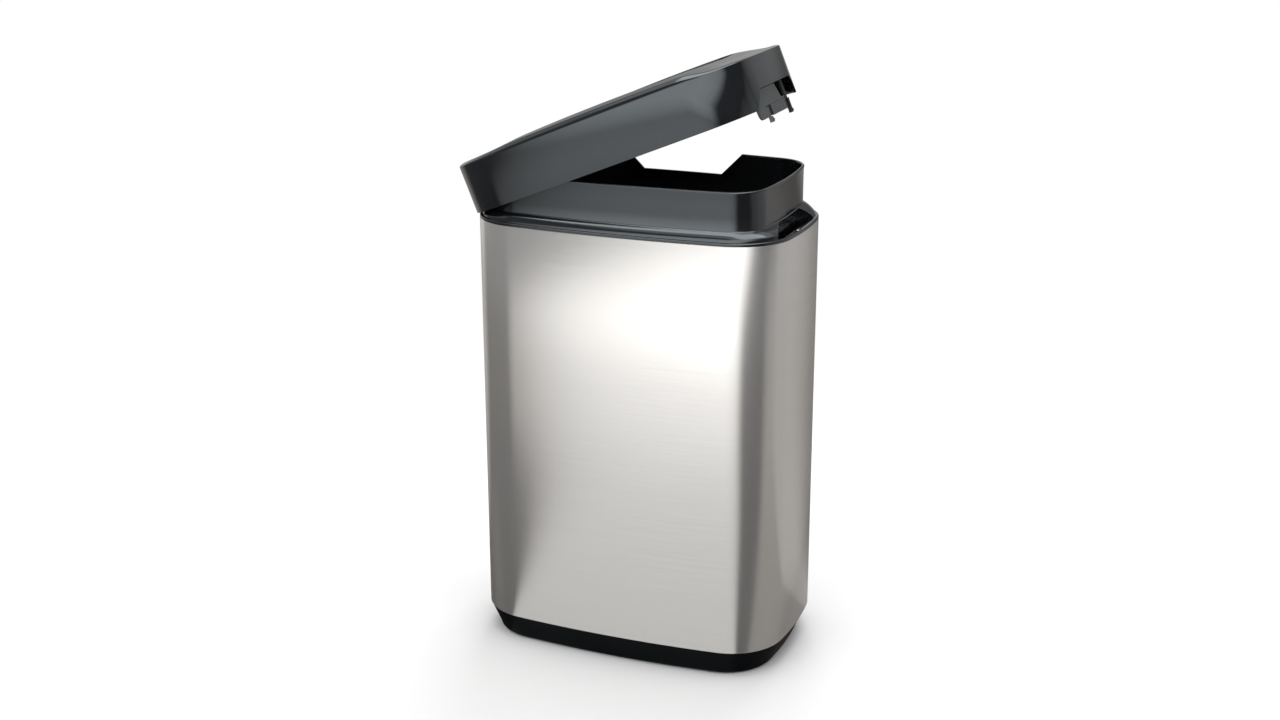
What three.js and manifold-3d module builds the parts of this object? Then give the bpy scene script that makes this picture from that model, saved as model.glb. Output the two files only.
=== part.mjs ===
// Free-standing washroom waste bin of about 50 litres, in millimetres, +Z up.
// The origin is the middle of the base on the floor. The front faces -Y, the cover's
// hinge is at the left end (-X), its latch at the right end (+X). A steel sleeve stands on
// a moulded base, a moulded collar sits in its top edge, and a crowned cover with a push
// flap closes over the collar. The cover stands open, as it does when the bag is changed.

import * as THREE from 'three';
import { mergeVertices } from 'three/addons/utils/BufferGeometryUtils.js';
import Module from 'manifold-3d';

const wasm = await Module();
wasm.setup();

// Fits that all pieces share
const fitGap = 0.3;
const cutOverrun = 3;

// Plan outline and steel sleeve
const binWidth = 390;
const binDepth = 238;
const cornerRadius = 68;
const faceBow = 14;
const endBow = 14;
const sleeveHeight = 496;
const sleeveWall = 1;
const seamWidth = 9;
const seamFold = 1.5;
const seamLine = 1;
const seamLineDepth = 0.5;

// Base
const plinthHeight = 32;
const plinthWall = 3;
const plinthTopInset = 0.4;
const plinthTopStep = 1.2;
const plinthFootInset = 6.5;
const plinthFootRadius = 7;
const floorThickness = 3;
const standRise = 20;
const standWall = 2.5;
const footDiameter = 24;
const footThickness = 1.5;
const footInsetX = 60;
const footInsetY = 54;

// Collar
const rimHeight = 3.5;
const rimWidth = 3.4;
const rimRound = 1.5;
const shoulderHeight = 15;
const shoulderWall = 3;
const collarHeight = 59;
const collarWall = 2.5;
const collarEndInset = 23.5;
const collarFrontInset = 10.5;
const collarRearInset = 4.5;
const collarRadius = 43;
const collarFaceBow = 10.5;
const collarEndBow = 11;
const lipRadius = 1.8;
const lipOverhang = 0.7;
const skirtDepth = 26;
const skirtWall = 2;
const throatDepth = 26;
const notchTopWidth = 156;
const notchBottomWidth = 102;
const notchDepth = 27;

// Latch pocket in the collar's right-hand ledge, and its strike plate
const pocketWallFrontShare = 0.13866;
const pocketWallRearShare = 0.18697;
const pocketRimFrontShare = 0.30252;
const pocketRimRearShare = 0.18277;
const pocketRimRun = 11;
const pocketSlantRun = 11.5;
const pocketDepth = 22;
const pocketWallHeight = 12;
const pocketReach = 6;
const pocketWall = 2.5;
const strikeThickness = 1.5;
const strikeDrop = 8.5;
const strikeReach = 11;
const strikeBossDiameter = 8;
const strikeScrewInset = 6;
const strikeScrewFrontShare = 0.08403;
const strikeScrewRearShare = 0.09244;

// Hinge of the cover
const hingeInset = 11.5;
const hingeDrop = 3.7;
const hingeSpacingShare = 0.84;
const hingePocketWidth = 30;
const hingePocketDepth = 7;
const hingeEar = 3;
const hingePinDiameter = 3;
const neckBarrel = 4.2;
const neckReach = 10.2;
const neckWall = 3.6;
const neckHeight = 17.5;
const neckWidth = 26;
const armPlateHeight = 27;
const armPlateWall = 2.5;
const armPlateGap = 5.1;
const armScrewLow = 8;
const armScrewHigh = 21;
const coverOpenDeg = 22.4;

// Cover
const coverGap = 0.8;
const coverSkirt = 57;
const coverWall = 2.5;
const edgeRun = 9;
const edgeRise = 6;
const crownRise = 5.6;
const crownShift = 40;
const crownEdgeShare = 0.5;
const rimMiddleShare = 0.5;
const openingLeftRim = 77;
const openingRightRim = 57;
const openingSideRim = 26;
const openingRadius = 36;
const openingFaceBow = 7;
const openingEndBow = 7;
const chuteDepth = 13;
const chuteWall = 2.2;
const chuteEdge = 1;
const reliefWidth = 150;
const reliefHeight = 5;
const reliefSlope = 4;
const windowTopWidth = 104;
const windowBottomWidth = 140;
const windowHeight = 22;
const windowCorner = 3;

// Latch in the cover's right wall. Its parts lie across the end by shares of the bin's depth.
const guideInset = 15.5;
const guideWall = 2.5;
const guideFrontShare = 0.30252;
const guideRearShare = 0.2605;
const guideBottom = 22;
const guideTop = 55;
const guideFlange = 9;
const guideScrewSpacingShare = 0.35294;
const sliderGap = 1.5;
const sliderWall = 2.5;
const sliderTravel = 4;
const thumbFrontShare = 0.27101;
const thumbRearTopShare = 0.04622;
const thumbRearBottomShare = 0.09244;
const thumbBottom = 1;
const tongueRearShare = 0.18908;
const tongueDrop = 9;
const railRearShare = 0.20168;
const railBottom = 23;
const railTop = 33;
const barFrontShare = 0.14496;
const barRearShare = 0.16807;
const barDrop = 12;
const barTop = 3;
const sliderArmWidth = 6;
const prongDrop = 18.5;
const prongWidth = 4.5;
const prongDepth = 4;
const hookLength = 2.5;
const hookHeight = 4;
const slotFrontShare = 0.21008;
const slotRearShare = 0.15126;
const slotHeight = 28;
const latchScrewDiameter = 4;
const latchScrewHead = 1.2;
const springPostFrontShare = 0.21008;
const springTabFrontShare = 0.08403;
const springTabWall = 2.5;
const springHeight = 38;
const springRadius = 2.1;
const springWire = 0.9;
const springTurnCount = 9;

// Flap and its hinge
const flapGap = 1.5;
const flapWall = 2.5;
const flapSkirt = 9;
const flapSkirtWall = 2.2;
const flapDome = 0.6;
const flapEdgeRound = 1;
const flapDomeShares = [0, 0.25, 0.5, 0.75, 0.97];
const flapHingeInset = 9.5;
const flapHingeDrop = 12.5;
const flapPinDiameter = 4;
const flapLugRadius = 5;
const flapLugWall = 5;
const flapLugSpacing = 48;
const bracketEarWall = 5;
const bracketWidth = 92;
const bracketDepth = 18.5;
const bracketHeight = 24;
const bracketChamfer = 5;
const bracketFlange = 14;
const bracketFlangeWall = 3;
const bracketFlangeDrop = 3;
const bracketRibWall = 4;
const bracketCellCount = 3;
const torsionRadius = 2.9;
const torsionWire = 1.2;
const torsionPitch = 1.7;
const torsionLeg = 12;
const torsionTurnCount = 4;

// Screws
const screwHeadRadius = 3.5;
const screwHeadHeight = 2.2;
const screwShankRadius = 1.7;
const screwLength = 6;
const screwCrownShare = 0.7;
const screwPointShare = 0.4;
const strikeScrewHeadRadius = 3;
const strikeScrewLength = 7;
const backScrewSpacing = 120;
const backScrewInset = 13;
const bossRadius = 4;

// Facets
const faceSteps = 6;
const cornerSteps = 7;
const endSteps = 4;
const roundSteps = 3;
const screwSides = 8;
const holeSides = 12;
const springSides = 5;
const springStepsPerTurn = 8;

// Levels and lines that several pieces share
const sleeveTop = plinthHeight + sleeveHeight;
const collarTop = sleeveTop + collarHeight;
const coverBottom = sleeveTop + rimHeight + coverGap;
const edgeLine = coverBottom + coverSkirt;
const openingTop = edgeLine + edgeRise;
const hingeSpacing = hingeSpacingShare * (binDepth - 2 * cornerRadius);
const hingeX = hingeInset - binWidth / 2;
const hingeZ = sleeveTop - hingeDrop;
const openingWidth = binWidth - openingLeftRim - openingRightRim;
const openingDepth = binDepth - 2 * openingSideRim;
const openingShift = (openingLeftRim - openingRightRim) / 2;
const flapAxisY = openingDepth / 2 - flapGap - flapHingeInset;
const flapAxisZ = openingTop + crownRise - flapHingeDrop;
const skirtInset = sleeveWall + fitGap;
const guideX = binWidth / 2 - guideInset;
const guideFaceX = guideX + guideWall;
const sliderX = guideFaceX + sliderGap;
const sliderFaceX = sliderX + sliderWall;

// Where the latch's parts lie across the right end, from its middle to the front or the rear
const pocketWallFront = pocketWallFrontShare * binDepth;
const pocketWallRear = pocketWallRearShare * binDepth;
const pocketRimFront = pocketRimFrontShare * binDepth;
const pocketRimRear = pocketRimRearShare * binDepth;
const strikeScrewFront = strikeScrewFrontShare * binDepth;
const strikeScrewRear = strikeScrewRearShare * binDepth;
const guideFront = guideFrontShare * binDepth;
const guideRear = guideRearShare * binDepth;
const guideScrewSpacing = guideScrewSpacingShare * binDepth;
const thumbFront = thumbFrontShare * binDepth;
const thumbRearTop = thumbRearTopShare * binDepth;
const thumbRearBottom = thumbRearBottomShare * binDepth;
const tongueRear = tongueRearShare * binDepth;
const railRear = railRearShare * binDepth;
const barFront = barFrontShare * binDepth;
const barRear = barRearShare * binDepth;
const slotFront = slotFrontShare * binDepth;
const slotRear = slotRearShare * binDepth;
const springPostFront = springPostFrontShare * binDepth;
const springTabFront = springTabFrontShare * binDepth;
const prongPlaces = [-barFront, barRear - prongWidth];

// Materials, one colour and finish for each kind of stuff
function finish(name, colour, roughness, metalness) {
  return new THREE.MeshStandardMaterial({ name, color: colour, roughness, metalness, flatShading: true });
}

const glossBlack = () => finish('gloss_black', 0x17191b, 0.12, 0);
const mattBlack = () => finish('matt_black', 0x141516, 0.6, 0);
const brushedSteel = () => finish('brushed_steel', 0xb9b4ac, 0.3, 1);
const zincSteel = () => finish('zinc_steel', 0x9a9c9e, 0.35, 1);
const springSteel = () => finish('spring_steel', 0x8c8f92, 0.3, 1);
const softRubber = () => finish('rubber', 0x202122, 0.85, 0);
const innerBlack = () => finish('inner_black', 0x1d1f21, 0.35, 0);

// Radius of the arc that bulges by bow over a chord
function bowRadius(chord, bow) {
  return ((chord / 2) ** 2 + bow ** 2) / (2 * bow);
}

// Meeting point, to the right and in front, of two circles
function circlesMeet(a, radiusA, b, radiusB) {
  const along = b.clone().sub(a);
  const distance = along.length();
  along.normalize();
  const reach = (radiusA ** 2 - radiusB ** 2 + distance ** 2) / (2 * distance);
  const off = Math.sqrt(Math.max(radiusA ** 2 - reach ** 2, 0));
  const side = new THREE.Vector2(-along.y, along.x);
  const one = a.clone().addScaledVector(along, reach).addScaledVector(side, off);
  const two = a.clone().addScaledVector(along, reach).addScaledVector(side, -off);
  return one.x > two.x ? one : two;
}

// Plan outline: bulged faces and ends with round corners. It keeps each point with the
// normal there, so that an offset outline has its points on the same normals.
class BowedOutline {
  constructor(width, depth, bow, sideBow, radius, shiftX = 0, shiftY = 0) {
    this.faceRadius = bowRadius(width, bow);
    this.endRadius = bowRadius(depth, sideBow);
    this.width = width;
    this.depth = depth;
    this.shiftX = shiftX;
    this.shiftY = shiftY;
    const face = new THREE.Vector2(0, this.faceRadius - depth / 2);
    const end = new THREE.Vector2(width / 2 - this.endRadius, 0);
    const corner = circlesMeet(face, this.faceRadius - radius, end, this.endRadius - radius);
    const faceAngle = Math.atan2(corner.y - face.y, corner.x - face.x);
    const endAngle = Math.atan2(corner.y - end.y, corner.x - end.x);
    this.samples = [];
    this.addArc(face.x, face.y, this.faceRadius, -Math.PI - faceAngle, faceAngle, faceSteps);
    this.addArc(corner.x, corner.y, radius, faceAngle, endAngle, cornerSteps);
    this.addArc(end.x, end.y, this.endRadius, endAngle, -endAngle, endSteps);
    this.addArc(corner.x, -corner.y, radius, -endAngle, -faceAngle, cornerSteps);
    this.addArc(face.x, -face.y, this.faceRadius, -faceAngle, Math.PI + faceAngle, faceSteps);
    this.addArc(-corner.x, -corner.y, radius, Math.PI + faceAngle, Math.PI + endAngle, cornerSteps);
    this.addArc(-end.x, end.y, this.endRadius, Math.PI + endAngle, Math.PI - endAngle, endSteps);
    this.addArc(-corner.x, corner.y, radius, Math.PI - endAngle, Math.PI - faceAngle, cornerSteps);
  }

  addArc(x, y, radius, from, to, steps) {
    for (let i = 0; i < steps; i += 1) {
      const angle = from + (to - from) * i / steps;
      const normal = new THREE.Vector2(Math.cos(angle), Math.sin(angle));
      const point = new THREE.Vector2(x + this.shiftX, y + this.shiftY).addScaledVector(normal, radius);
      this.samples.push({ point, normal });
    }
  }

  // Closed ring of points, moved inwards by inset. Height is a number or a function of x.
  ring(inset, height) {
    return this.samples.map(({ point, normal }) => {
      const p = point.clone().addScaledVector(normal, -inset);
      const z = typeof height === 'function' ? height(p.x) : height;
      return new THREE.Vector3(p.x, p.y, z);
    });
  }

  // Upright solid with this outline, moved inwards by inset
  prism(inset, low, high) {
    return loft([this.ring(inset, low), this.ring(inset, high)], true);
  }

  // Where the rear face lies, moved inwards by inset
  rearY(x, inset) {
    const centre = this.depth / 2 - this.faceRadius + this.shiftY;
    return centre + Math.sqrt((this.faceRadius - inset) ** 2 - (x - this.shiftX) ** 2);
  }
}

// Points part of the way from one ring to another, at a height of their own
function ringBetween(from, to, share, height) {
  return from.map((p, i) => {
    const q = p.clone().lerp(to[i], share);
    q.z = typeof height === 'function' ? height(q.x) : height;
    return q;
  });
}

// Ring drawn in towards its middle
function ringScaled(ring, share, height) {
  const middle = ring.reduce((sum, p) => sum.add(p), new THREE.Vector3()).divideScalar(ring.length);
  return ring.map((p) => {
    const q = middle.clone().lerp(p, share);
    q.z = height(q.x);
    return q;
  });
}

// Manifold solid from a list of points and triangles, with its faces pointing out
function solidFrom(positions, triangles) {
  let volume = 0;
  for (const [a, b, c] of triangles) {
    volume += positions[a].dot(positions[b].clone().cross(positions[c]));
  }
  const turned = volume < 0 ? triangles.map(([a, b, c]) => [a, c, b]) : triangles;
  const vertProperties = new Float32Array(positions.flatMap((p) => [p.x, p.y, p.z]));
  const triVerts = new Uint32Array(turned.flat());
  return new wasm.Manifold(new wasm.Mesh({ numProp: 3, vertProperties, triVerts }));
}

// Skin over a row of rings: a closed loop of them, or capped at the first and the last
function loft(rings, capped) {
  const count = rings[0].length;
  const positions = rings.flat();
  const triangles = [];
  const rows = capped ? rings.length - 1 : rings.length;
  for (let i = 0; i < rows; i += 1) {
    const next = (i + 1) % rings.length;
    for (let j = 0; j < count; j += 1) {
      const k = (j + 1) % count;
      triangles.push([i * count + j, i * count + k, next * count + k]);
      triangles.push([i * count + j, next * count + k, next * count + j]);
    }
  }
  if (capped) {
    for (const [row, flip] of [[0, true], [rings.length - 1, false]]) {
      const middle = rings[row].reduce((sum, p) => sum.add(p), new THREE.Vector3()).divideScalar(count);
      positions.push(middle);
      for (let j = 0; j < count; j += 1) {
        const pair = [row * count + j, row * count + (j + 1) % count];
        triangles.push(flip ? [positions.length - 1, pair[1], pair[0]] : [positions.length - 1, ...pair]);
      }
    }
  }
  return solidFrom(positions, triangles);
}

// Solid from one of the library's closed geometries
function solidOf(geometry) {
  geometry.deleteAttribute('normal');
  geometry.deleteAttribute('uv');
  const merged = mergeVertices(geometry);
  const place = merged.attributes.position;
  const positions = [];
  for (let i = 0; i < place.count; i += 1) {
    positions.push(new THREE.Vector3().fromBufferAttribute(place, i));
  }
  const triangles = [];
  for (let i = 0; i < merged.index.count; i += 3) {
    const [a, b, c] = [merged.index.getX(i), merged.index.getX(i + 1), merged.index.getX(i + 2)];
    if (a !== b && b !== c && c !== a) {
      triangles.push([a, b, c]);
    }
  }
  return solidFrom(positions, triangles);
}

function box(x0, x1, y0, y1, z0, z1) {
  const geometry = new THREE.BoxGeometry(x1 - x0, y1 - y0, z1 - z0);
  geometry.translate((x0 + x1) / 2, (y0 + y1) / 2, (z0 + z1) / 2);
  return solidOf(geometry);
}

// Outline drawn in the two directions across an axis, and extruded along it.
// Across X the outline's points are (y, z), across Y (x, z) and across Z (x, y).
function extrude(shape, axis, from, to) {
  const settings = { depth: to - from, bevelEnabled: false, curveSegments: roundSteps };
  const geometry = new THREE.ExtrudeGeometry(shape, settings);
  const swap = {
    x: new THREE.Matrix4().set(0, 0, 1, from, 1, 0, 0, 0, 0, 1, 0, 0, 0, 0, 0, 1),
    y: new THREE.Matrix4().set(1, 0, 0, 0, 0, 0, 1, from, 0, 1, 0, 0, 0, 0, 0, 1),
    z: new THREE.Matrix4().set(1, 0, 0, 0, 0, 1, 0, 0, 0, 0, 1, from, 0, 0, 0, 1),
  };
  geometry.applyMatrix4(swap[axis]);
  return solidOf(geometry);
}

function polygon(points) {
  return new THREE.Shape(points.map(([u, v]) => new THREE.Vector2(u, v)));
}

// Round bar along an axis. The centre holds the two coordinates across the axis.
function bar(axis, radius, from, to, centre, sides) {
  const shape = new THREE.Shape();
  for (let i = 0; i < sides; i += 1) {
    const angle = 2 * Math.PI * i / sides;
    const u = centre[0] + radius * Math.cos(angle);
    const v = centre[1] + radius * Math.sin(angle);
    if (i === 0) {
      shape.moveTo(u, v);
    } else {
      shape.lineTo(u, v);
    }
  }
  return extrude(shape, axis, from, to);
}

// Pan-head screw with its head's seat at the origin, its shank along -Z
function screw(headRadius, length) {
  const headEdge = screwHeadHeight / 2;
  const headCrown = headRadius * screwCrownShare;
  const point = screwShankRadius * screwPointShare;
  const profile = [
    new THREE.Vector2(0, -length),
    new THREE.Vector2(point, -length),
    new THREE.Vector2(screwShankRadius, -length + screwShankRadius),
    new THREE.Vector2(screwShankRadius, 0),
    new THREE.Vector2(headRadius, 0),
    new THREE.Vector2(headRadius, headEdge),
    new THREE.Vector2(headCrown, screwHeadHeight),
    new THREE.Vector2(0, screwHeadHeight),
  ];
  const geometry = new THREE.LatheGeometry(profile, screwSides);
  geometry.rotateX(Math.PI / 2);
  return solidOf(geometry);
}

// The same screw, turned so that its head faces along a direction, with its seat at a point
function screwAt(direction, place, headRadius, length) {
  const up = new THREE.Vector3(0, 0, 1);
  const turn = new THREE.Quaternion().setFromUnitVectors(up, new THREE.Vector3(...direction));
  const matrix = new THREE.Matrix4().compose(new THREE.Vector3(...place), turn, new THREE.Vector3(1, 1, 1));
  return screw(headRadius, length).transform(matrix.elements);
}

function joinAll(solids) {
  return solids.reduce((whole, piece) => whole.add(piece));
}

// Least gap that a coiled wire leaves to itself, measured between points of its middle
// line that lie more than half a turn apart along it
function leastGap(points, thickness) {
  let least = Infinity;
  for (let i = 0; i < points.length; i += 1) {
    for (let j = i + springStepsPerTurn / 2 + 1; j < points.length; j += 1) {
      least = Math.min(least, points[i].distanceTo(points[j]) - thickness);
    }
  }
  return least;
}

// Round wire along a row of points, with flat ends
function wire(name, points, thickness) {
  console.log(name + ': least gap of the wire to itself ' + leastGap(points, thickness).toFixed(2) + ' mm');
  const alongs = points.map((point, i) => {
    const before = points[Math.max(i - 1, 0)];
    const after = points[Math.min(i + 1, points.length - 1)];
    return after.clone().sub(before).normalize();
  });
  const across = new THREE.Vector3(0, 0, 1).cross(alongs[0]).normalize();
  const rings = points.map((point, i) => {
    across.addScaledVector(alongs[i], -across.dot(alongs[i])).normalize();
    const up = alongs[i].clone().cross(across);
    const ring = [];
    for (let k = 0; k < springSides; k += 1) {
      const angle = 2 * Math.PI * k / springSides;
      const p = point.clone().addScaledVector(across, thickness / 2 * Math.cos(angle));
      ring.push(p.addScaledVector(up, thickness / 2 * Math.sin(angle)));
    }
    return ring;
  });
  return loft(rings, true);
}

// Coil of wire round an axis. toPlace(along, angle) gives the wire's middle.
function coilPoints(length, turns, toPlace) {
  const steps = turns * springStepsPerTurn;
  const points = [];
  for (let i = 0; i <= steps; i += 1) {
    points.push(toPlace(length * i / steps, 2 * Math.PI * turns * i / steps));
  }
  return points;
}

const binOutline = new BowedOutline(binWidth, binDepth, faceBow, endBow, cornerRadius);
const collarOutline = new BowedOutline(
  binWidth - 2 * collarEndInset,
  binDepth - collarFrontInset - collarRearInset,
  collarFaceBow,
  collarEndBow,
  collarRadius,
  0,
  (collarFrontInset - collarRearInset) / 2,
);
const openingOutline = new BowedOutline(
  openingWidth,
  openingDepth,
  openingFaceBow,
  openingEndBow,
  openingRadius,
  openingShift,
  0,
);

// Slot for the sleeve's folded seam in a piece that lies inside the sleeve
function seamSlot(low, high) {
  const half = seamWidth / 2 + 2 * fitGap;
  const outer = binDepth / 2;
  const inner = outer - skirtInset - Math.max(skirtWall, standWall) - cutOverrun;
  return box(-half, half, inner, outer, low, high);
}

// Places of the screws that hold the sleeve at the back, as [x, seat y]
function backScrewPlaces() {
  return [-1, 1].map((side) => {
    const x = side * backScrewSpacing / 2;
    return [x, binOutline.rearY(Math.abs(x) - screwHeadRadius, 0) + fitGap];
  });
}

function backScrews(height) {
  return backScrewPlaces().map(([x, y]) => {
    return screwAt([0, 1, 0], [x, y, height], screwHeadRadius, screwLength);
  });
}

function backScrewHoles(height) {
  const radius = screwShankRadius + fitGap;
  const reach = screwLength + cutOverrun;
  return joinAll(backScrewPlaces().map(([x, y]) => {
    return bar('y', radius, y - reach, y + cutOverrun, [x, height], screwSides);
  }));
}

const collarScrewHeight = sleeveTop - backScrewInset;
const baseScrewHeight = plinthHeight + backScrewInset;

// Base: tapered plinth with a rounded foot, a floor and a stand inside the sleeve
function makeBase() {
  const foot = [];
  const inside = [];
  for (let i = 0; i <= roundSteps; i += 1) {
    const angle = Math.PI / 2 * i / roundSteps;
    const run = 1 - Math.cos(angle);
    const rise = 1 - Math.sin(angle);
    const inset = plinthFootInset + plinthFootRadius * run;
    foot.push(binOutline.ring(inset, plinthFootRadius * rise));
    const innerRadius = plinthFootRadius - plinthWall;
    const innerInset = plinthFootInset + plinthWall + innerRadius * run;
    inside.push(binOutline.ring(innerInset, floorThickness + innerRadius * rise));
  }
  const standInner = skirtInset + standWall;
  const standTop = plinthHeight + standRise;
  const rings = [
    ...foot.reverse(),
    binOutline.ring(plinthTopInset + plinthTopStep, plinthHeight - plinthWall),
    binOutline.ring(plinthTopInset, plinthHeight),
    binOutline.ring(skirtInset, plinthHeight),
    binOutline.ring(skirtInset, standTop),
    binOutline.ring(standInner, standTop),
    binOutline.ring(standInner, plinthHeight - plinthWall),
    ...inside,
  ];
  const pads = footPlaces().map(([x, y]) => {
    return bar('z', footDiameter / 2 + fitGap, -cutOverrun, footThickness, [x, y], holeSides);
  });
  const tub = loft(rings, true);
  const slot = seamSlot(plinthHeight, standTop + cutOverrun);
  return tub.subtract(joinAll(pads)).subtract(slot).subtract(backScrewHoles(baseScrewHeight));
}

function footPlaces() {
  const x = binWidth / 2 - footInsetX;
  const y = binDepth / 2 - footInsetY;
  return [[-x, -y], [x, -y], [-x, y], [x, y]];
}

// Steel sleeve: one bent sheet, joined by a seam folded inwards down the back
function makeSleeve() {
  const rings = [
    binOutline.ring(0, plinthHeight),
    binOutline.ring(0, sleeveTop),
    binOutline.ring(sleeveWall, sleeveTop),
    binOutline.ring(sleeveWall, plinthHeight),
  ];
  const rear = binDepth / 2;
  const foldInner = rear - sleeveWall - seamFold;
  const foldOuter = rear - sleeveWall / 2;
  const fold = box(-seamWidth / 2, seamWidth / 2, foldInner, foldOuter, plinthHeight, sleeveTop);
  const line = box(
    -seamLine / 2,
    seamLine / 2,
    rear - seamLineDepth,
    rear + cutOverrun,
    plinthHeight - cutOverrun,
    sleeveTop + cutOverrun,
  );
  const holes = backScrewHoles(collarScrewHeight).add(backScrewHoles(baseScrewHeight));
  return loft(rings, false).add(fold).subtract(line).subtract(holes);
}

// Heights of the collar's shoulder, from its wall (0) out to its rim (1)
const shoulderRunShares = [0, 0.12, 0.25, 0.6, 0.85, 1];
const shoulderRiseShares = [1, 0.74, 0.6, 0.44, 0.29, 0];

function shoulderRings(drop, innerRing, outerRing) {
  return shoulderRunShares.map((share, i) => {
    const rise = rimHeight + (shoulderHeight - rimHeight) * shoulderRiseShares[i];
    return ringBetween(innerRing, outerRing, share, sleeveTop + rise - drop);
  });
}

// Solid under the shoulder's top surface, from which pockets and ears are cut
function underShoulder(low) {
  const shoulder = shoulderRings(0, collarOutline.ring(0, 0), binOutline.ring(rimWidth, 0));
  const rings = [
    binOutline.ring(skirtInset, low),
    binOutline.ring(skirtInset, sleeveTop + rimHeight - rimRound),
    ...shoulder.reverse(),
  ];
  return loft(rings, true);
}

// Collar: rim on the sleeve, shoulder, upstand with a rounded lip, and a skirt in the sleeve
function collarShell() {
  const lip = [];
  const lipMiddle = lipRadius - lipOverhang;
  for (let i = 0; i <= 2 * roundSteps; i += 1) {
    const angle = Math.PI * i / (2 * roundSteps);
    const inset = lipMiddle + lipRadius * Math.cos(angle);
    lip.push(collarOutline.ring(inset, collarTop - lipRadius + lipRadius * Math.sin(angle)));
  }
  const shoulder = shoulderRings(0, collarOutline.ring(0, 0), binOutline.ring(rimWidth, 0));
  const skirtInner = skirtInset + skirtWall;
  const under = shoulderRings(shoulderWall, collarOutline.ring(0, 0), binOutline.ring(skirtInner, 0));
  const rings = [
    collarOutline.ring(collarWall, sleeveTop - throatDepth),
    collarOutline.ring(collarWall, collarTop - 2 * lipRadius),
    ...lip,
    collarOutline.ring(0, collarTop - 2 * lipRadius),
    ...shoulder,
    binOutline.ring(rimRound, sleeveTop + rimHeight),
    binOutline.ring(0, sleeveTop + rimHeight - rimRound),
    binOutline.ring(0, sleeveTop),
    binOutline.ring(skirtInset, sleeveTop),
    binOutline.ring(skirtInset, sleeveTop - skirtDepth),
    binOutline.ring(skirtInner, sleeveTop - skirtDepth),
    ...under.reverse(),
    collarOutline.ring(0, sleeveTop - throatDepth),
  ];
  return loft(rings, false);
}

// Trapezoid notch in the upstand's rear wall, which the flap's hinge block drops into
function rearNotch() {
  const slope = (notchTopWidth - notchBottomWidth) / 2 / notchDepth;
  const over = lipRadius + cutOverrun;
  const topHalf = notchTopWidth / 2 + slope * over;
  const bottomHalf = notchBottomWidth / 2;
  const shape = polygon([
    [-bottomHalf, collarTop - notchDepth],
    [bottomHalf, collarTop - notchDepth],
    [topHalf, collarTop + over],
    [-topHalf, collarTop + over],
  ]);
  return extrude(shape, 'y', 0, binDepth / 2);
}

// Inner face of the latch pocket, which reaches a little behind the upstand's wall
const pocketInnerX = binWidth / 2 - collarEndInset - pocketReach;

function pocketShape(grow) {
  const wallX = binWidth / 2 - collarEndInset;
  const outX = binWidth / 2 + cutOverrun;
  return polygon([
    [pocketInnerX - grow, -pocketWallFront - grow],
    [wallX + pocketSlantRun - pocketRimRun, -pocketWallFront - grow],
    [wallX + pocketSlantRun, -pocketRimFront - grow],
    [outX, -pocketRimFront - grow],
    [outX, pocketRimRear + grow],
    [wallX + pocketRimRun, pocketRimRear + grow],
    [wallX, pocketWallRear + grow],
    [pocketInnerX - grow, pocketWallRear + grow],
  ]);
}

// Tray of the latch pocket, joined to the collar, and the space inside it
function pocketTray() {
  const low = sleeveTop - pocketDepth - pocketWall;
  const top = sleeveTop + pocketWallHeight + pocketWall;
  const block = extrude(pocketShape(pocketWall), 'z', low, top);
  const room = underShoulder(low - cutOverrun).add(collarOutline.prism(0, low, top));
  return block.intersect(room);
}

function pocketSpace() {
  const low = sleeveTop - pocketDepth;
  const high = sleeveTop + pocketWallHeight;
  const space = extrude(pocketShape(0), 'z', low, high);
  const below = binOutline.prism(skirtInset + skirtWall, low - cutOverrun, sleeveTop);
  const above = binOutline.prism(rimWidth, sleeveTop - fitGap, high + cutOverrun);
  return space.intersect(below.add(above));
}

const strikeTop = sleeveTop - strikeDrop;

function strikeScrewPlaces() {
  return [-strikeScrewFront, strikeScrewRear].map((y) => [sliderX - strikeScrewInset, y]);
}

function strikeBosses() {
  const low = sleeveTop - pocketDepth - pocketWall / 2;
  const high = strikeTop - strikeThickness;
  return joinAll(strikeScrewPlaces().map((place) => {
    return bar('z', strikeBossDiameter / 2, low, high, place, holeSides);
  }));
}

function strikeHoles(low) {
  const radius = screwShankRadius + fitGap;
  const high = strikeTop + cutOverrun;
  return joinAll(strikeScrewPlaces().map((place) => bar('z', radius, low, high, place, screwSides)));
}

// Ears and floor of one hinge pocket, and the space between the ears
function hingePocketBlock(side) {
  const middle = side * hingeSpacing / 2;
  const half = hingePocketWidth / 2 + hingeEar;
  const low = hingeZ - hingePocketDepth - hingeEar;
  const wallX = collarEndInset - binWidth / 2 + collarWall;
  const block = box(-binWidth / 2, wallX, middle - half, middle + half, low, sleeveTop + shoulderHeight);
  return block.intersect(underShoulder(low - cutOverrun));
}

function hingePocketSpace(side) {
  const middle = side * hingeSpacing / 2;
  const half = hingePocketWidth / 2;
  const low = hingeZ - hingePocketDepth;
  const high = sleeveTop + shoulderHeight + cutOverrun;
  const wallX = hingeX + neckReach + fitGap;
  const space = box(-binWidth / 2, wallX, middle - half, middle + half, low, high);
  return space.intersect(binOutline.prism(rimWidth, low - cutOverrun, high + cutOverrun));
}

function hingePinEnds(side) {
  const middle = side * hingeSpacing / 2;
  const half = hingePocketWidth / 2 + hingeEar - fitGap;
  return [middle - half, middle + half];
}

function makeHingePin(side) {
  const [from, to] = hingePinEnds(side);
  return bar('y', hingePinDiameter / 2, from, to, [hingeX, hingeZ], holeSides);
}

function hingePinHole(side) {
  const [from, to] = hingePinEnds(side);
  return bar('y', hingePinDiameter / 2 + fitGap, from - fitGap, to + fitGap, [hingeX, hingeZ], holeSides);
}

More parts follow.
